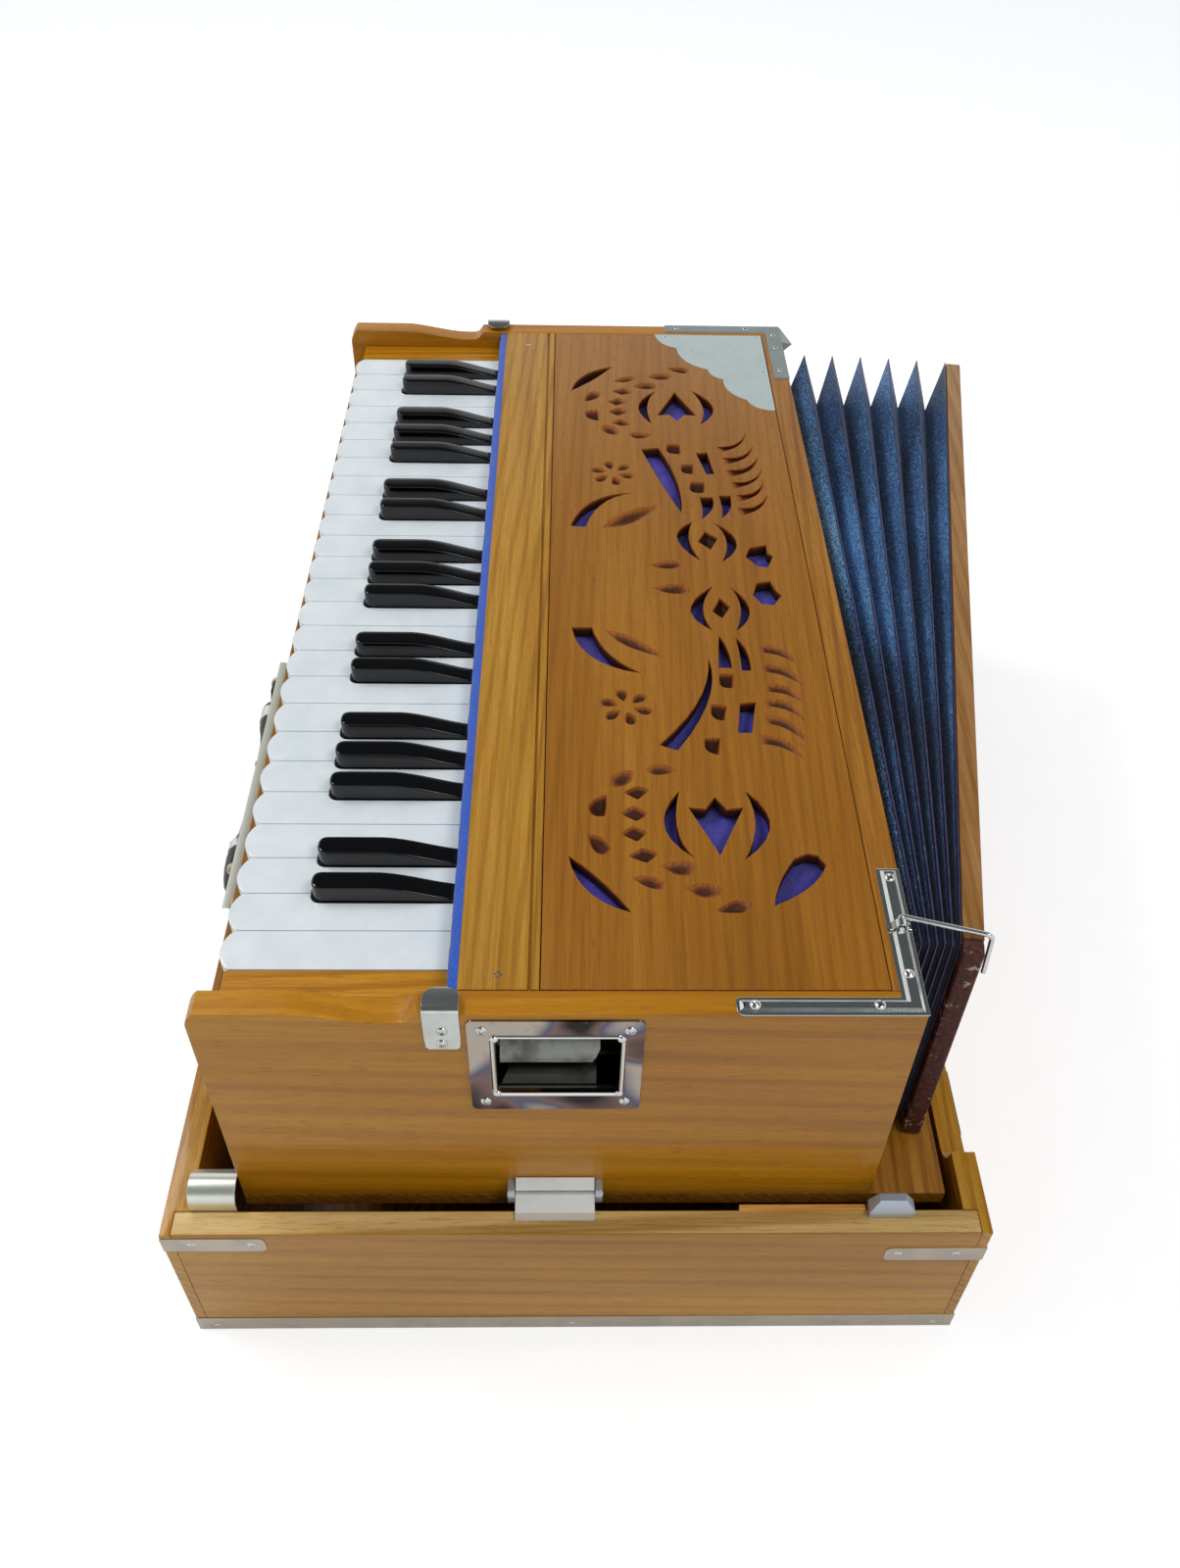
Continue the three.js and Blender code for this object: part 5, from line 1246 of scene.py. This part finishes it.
for side, name in ((1, "cup_handle_near"), (-1, "cup_handle_far")):
    cup = Piece(name + "_looks")
    mouth = rounded(oblong((mouth_front, mouth_rear), (mouth_low, mouth_high)), 1.6, 3)
    face = rounded(oblong((plate_front, plate_rear), (plate_low, plate_high)), 3.2, 5)
    out = case_half + 0.02
    plate = cut_board(face, out, out + 1.0, 0.5, 0, [inset(mouth, -1.2)])
    sections = [(-2.4, 0.6), (-2.1, 1.4), (-1.3, 1.9), (-0.5, 1.7), (0.1, 1.0), (0.1, -cup_back + 1.2),
                (1.2, -cup_back + 0.2)]
    bowl = bmesh.new()
    rings = [add_ring(bowl, inset(mouth, outwards), out + rise) for outwards, rise in sections]
    rings += [add_ring(bowl, inset(mouth, outwards), out + rise) for outwards, rise in (
        (0.6, -cup_back - 0.5), (-1.0, -cup_back), (-1.0, -0.1), (-2.4, -0.1))]
    for upper, lower in zip(rings, rings[1:] + rings[:1]):
        if upper is not rings[6]:
            add_wall(bowl, upper, lower)
    bowl.faces.new(rings[6])
    bowl.faces.new(rings[7])
    for shape, finish in ((plate, cup_chrome), (bowl, cup_steel)):
        if side < 0:
            for vert in shape.verts:
                vert.co.z = -vert.co.z
        cup.add(shape, finish, "end")
    for path, front, rear in ((upper_lip, -35.6, 8.4), (lower_lip, -35.8, 7.0)):
        blade = bent_strip([(side * x, z) for x, z in path], front, rear, 1.1)
        for vert in blade.verts:
            before = vert.co.y < (front + rear) / 2
            if path is upper_lip and not before:
                vert.co.y -= max(0, min(1, (219 - vert.co.z) / 5)) * 3.6
            if path is lower_lip and before:
                vert.co.y += max(0, (vert.co.z - 198.6) / 5) * 5.6
        cup.add(blade, blade_steel)
    for corner_y in (mouth_front, mouth_rear):
        for corner_z in (mouth_low, mouth_high):
            knob = bmesh.new()
            bmesh.ops.create_uvsphere(knob, u_segments=14, v_segments=8, radius=2.0)
            for vert in knob.verts:
                vert.co = Vector((side * (out + 1.2) + vert.co.x * 0.7, corner_y + vert.co.y,
                                  corner_z + vert.co.z))
            cup.add(knob, rolled_steel)
    cup.settle("case", [name], sharp=40)
screws("cup_plate_screws", "case", on_ends(case_half + 0.9, [
    (-42.0, 245.4), (20.5, 245.4), (-42.2, 190.3), (19.5, 190.2)]), 2.7, 1.7)


# Folding end supports
# Two aluminium leaves on a pin: the fixed one leans on the end panel, the loose one rests on the
# tray's rim and holds the case up.
support_finish = metal("support_aluminium", (232, 232, 228), 0.42, "y", 0.4, (0.66, 0.66, 0.64, 1), 0.2, 0.55)
support_front, support_rear, flange_side = -30.8, 7.3, 300.85
fixed_leaves = Piece("support_fixed_leaves")
for side, name in ((1, "support_near"), (-1, "support_far")):
    dress(name, support_finish)
    path = [(side * x, z) for x, z in ((301.0, 119.2), (302.0, 119.0), (304.6, 117.3), (306.0, 116.0))]
    fixed_leaves.add(bent_strip(path, support_front, support_rear, 0.7), support_finish)
    path = [(side * flange_side, z) for z in (118.6, 112.0, 107.0)]
    fixed_leaves.add(bent_strip(path, support_front, support_rear, 0.5), support_finish)
fixed_leaves.settle("case", sharp=30)


# Bellows hook
# A steel wire bent at both ends: its pin turns in the bracket's loop, its run crosses the folds and
# its end drops behind the bellows board to hold it shut.
def wire(points, radius, bend, sides=14):
    """A round wire through points, bent round each corner."""
    places = [np.array(point, float) for point in points]
    spine = [places[0]]
    for before, here, after in zip(places, places[1:], places[2:]):
        into = here + (before - here) / np.linalg.norm(before - here) * bend
        out_of = here + (after - here) / np.linalg.norm(after - here) * bend
        spine += [(1 - t) ** 2 * into + 2 * t * (1 - t) * here + t * t * out_of
                  for t in [s / 8 for s in range(9)]]
    spine.append(places[-1])
    rings, across = [], None
    for i, place in enumerate(spine):
        ahead = spine[min(i + 1, len(spine) - 1)] - spine[max(i - 1, 0)]
        ahead /= np.linalg.norm(ahead)
        across = np.cross(ahead, (0.3, 0.2, 1.0)) if across is None else across - ahead * (across @ ahead)
        across /= np.linalg.norm(across)
        other = np.cross(ahead, across)
        turns = [2 * math.pi * s / sides for s in range(sides)]
        rings.append([tuple(place + (across * math.cos(t) + other * math.sin(t)) * radius) for t in turns])
    return skin(rings)


wire_steel = metal("hook_wire_steel", (222, 222, 220), 0.12, "y", 0.25)
hook = Piece("bellows_hook_looks")
hook_path = [(257.4, loop_y, 258.0), (249.8, loop_y, 258.0), (261.6, 178.7, 259.1), (264.4, 178.9, 236.4)]
hook.add(wire(hook_path, 1.2, 3.0), wire_steel)
hook.settle("bellows_hook", ["bellows_hook"], sharp=50)


# Bellows
# Card folds covered in navy cloth, hinged along the near end of the case and fanned open at the far
# end. A glossy purple tape covers each ridge; cloth strips join each ridge to the next one.
fold_hinge_x, first_ridge, ridge_pitch, ridge_count = 264.0, 148.4, 3.42, 6
first_turn, turn_step = math.radians(1.2), math.radians(1.8)
fold_low, fold_high, fold_near, fold_far = 104.5, 253.5, 2.0, 526.0
fold_deep, near_deep, far_deep, steps_along, steps_up = 24.0, 12.0, 24.0, 46, 12


def on_fold(base_y, fold_turn, run, z, lift=0.0):
    """A place on an upright plane turned about the hinge, lifted square off it towards the board."""
    return (fold_hinge_x - run * math.cos(fold_turn) + lift * math.sin(fold_turn),
            base_y + run * math.sin(fold_turn) + lift * math.cos(fold_turn), z)


def fold_loop(base_y, fold_turn, share, lift=0.0, seed=0.0):
    """A closed loop round a fold: share 0 is the ridge's outer edge and 1 the bottom of the valley."""
    near, far = fold_near + near_deep * share, fold_far - far_deep * share
    low, high = fold_low + fold_deep * share, fold_high - fold_deep * share
    corners = oblong((near, far), (high, low))
    loop = []
    for i, (start, end) in enumerate(zip(corners, corners[1:] + corners[:1])):
        steps = steps_up if i % 2 else steps_along
        for step in range(steps):
            t = step / steps
            run, z = start[0] + (end[0] - start[0]) * t, start[1] + (end[1] - start[1]) * t
            sway = noise.noise(Vector((run / 60, z / 60, seed))) * 0.7 * math.sin(math.pi * t)
            inward = 1 if i == 0 else -1 if i == 2 else 0
            loop.append(on_fold(base_y, fold_turn, run, z - inward * abs(sway), lift))
    return loop


denim = Finish("bellows_cloth")
specks = denim.clouds(denim.places(), 760.0, 4.0, 0.75)
drift = denim.clouds(denim.places((0.3, 1, 1)), 24.0, 2.0, 0.5)
cloth_blue = denim.shades(specks * 0.75 + drift * 0.25, [
    (0.42, paint(6, 17, 40)), (0.5, paint(28, 70, 122)), (0.58, paint(104, 170, 226)),
    (0.68, paint(198, 226, 248))])
bellows_cloth = denim.surface(cloth_blue, 0.42 + specks * 0.2, specks, 0.0004, 0.7, Specular_IOR_Level=0.35,
                              Sheen_Weight=0.25, Sheen_Roughness=0.35)
tape = Finish("ridge_tape")
tape_wear = tape.clouds(tape.places(), 260.0, 3.0, 0.7)
tape_shades = tape.shades(tape_wear, [
    (0.35, paint(20, 18, 44)), (0.6, paint(44, 38, 84)), (0.8, paint(96, 90, 140))])
ridge_tape = tape.surface(tape_shades, 0.3 + tape_wear * 0.25, tape_wear, 0.0002, 0.4,
                          Coat_Weight=0.3, Coat_Roughness=0.2)

ridges = [(first_ridge + i * ridge_pitch, first_turn + i * turn_step) for i in range(ridge_count)]
case_edge = (case_rear + 0.15, 0.0)
owners = ["case"] + [f"bellows_fold_{i + 1}" for i in range(ridge_count - 1)] + ["bellows_board"]
planes = [case_edge] + ridges
for i in range(ridge_count):
    (from_y, from_turn), (to_y, to_turn) = planes[i], planes[i + 1]
    mid_y, mid_turn = (from_y + to_y) / 2, (from_turn + to_turn) / 2
    name = f"bellows_cloth_{i + 1}"
    if i == 0:
        loops = [fold_loop(from_y, from_turn, 1, 0.0, 0), fold_loop(to_y, to_turn, 0.0, -0.35, i + 1)]
    else:
        loops = [fold_loop(from_y, from_turn, 0.0, 0.35, i), fold_loop(mid_y, mid_turn, 1, 0.0, i),
                 fold_loop(to_y, to_turn, 0.0, -0.35, i + 1)]
    cloth_strip = Piece(name)
    cloth_strip.add(skin(loops, ends=False), bellows_cloth)
    made = cloth_strip.settle(None, sharp=20)
    across = Vector(on_fold(0, mid_turn, 0, 0, 1.5)) - Vector(on_fold(0, mid_turn, 0, 0, 0))
    middle = at(*on_fold(mid_y, mid_turn, 260, 180))
    middle - across / 1000
    middle + across / 1000
    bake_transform(made)
    hidden = [f"bellows_fold_{i + 1}"] if i < ridge_count - 1 else []
    if hidden:
        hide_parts(*hidden)
for i, (base_y, fold_turn) in enumerate(ridges):
    band = Piece(f"ridge_tape_{i + 1}")
    loops = [fold_loop(base_y, fold_turn, share, lift, i + 1) for share, lift in (
        (0.11, 0.62), (0.0, 0.55), (-0.02, 0.2), (-0.02, -0.2), (0.0, -0.55), (0.11, -0.62))]
    band.add(skin(loops, ends=False), ridge_tape)
    band.settle(owners[i + 1], sharp=60)


# Bellows board
# A thin teak board as wide as the folds, its near end bound in red-brown leather that is rubbed pale
# in patches.
last_y, board_turn = ridges[-1]
board_y = last_y + 0.6
board_thickness, board_low, board_high = 9.6, 103.5, 255.0
board_near, board_far = -4.0, 524.0
board_teak = teak("bellows_board_teak", "x", ((112, 72, 30), (144, 100, 50), (170, 128, 78)), 6.6)
board = Piece("bellows_board_looks")
leather_reach = 9.0
wooden = plank((board_near + leather_reach, board_far), (0, board_thickness), (board_low, board_high), 0.9)
bound = plank((board_near, board_near + leather_reach + 0.05), (-0.05, board_thickness - 0.05),
              (board_low, board_high - 0.1), 1.6)
for shape in (wooden, bound):
    for vert in shape.verts:
        vert.co = Vector(on_fold(board_y, board_turn, vert.co.x, vert.co.z, vert.co.y))
leather = Finish("edge_leather")
grain = leather.clouds(leather.places(), 420.0, 3.0, 0.65)
rubbed = leather.clouds(leather.places(), 150.0, 3.0, 0.7).rising(0.6, 0.68)
rubbed_share = rubbed * 0.8
leather_shades = leather.shades(grain, [
    (0.3, paint(34, 14, 10)), (0.55, paint(76, 34, 26)), (0.75, paint(112, 62, 46))])
edge_leather = leather.surface(leather.mixed(rubbed_share, leather_shades, paint(196, 170, 150)),
                               0.5 + grain * 0.2, grain, 0.0005, 0.7, Specular_IOR_Level=0.35)
board.add(wooden, board_teak)
board.add(bound, edge_leather)
board.add(skin([fold_loop(last_y, board_turn, 0.0, 0.3, 6), fold_loop(board_y, board_turn, 0.02, -0.02, 6),
                fold_loop(board_y, board_turn, 1.0, -0.02, 6)], ends=False), bellows_cloth)
board.settle("bellows_board", ["bellows_board"])
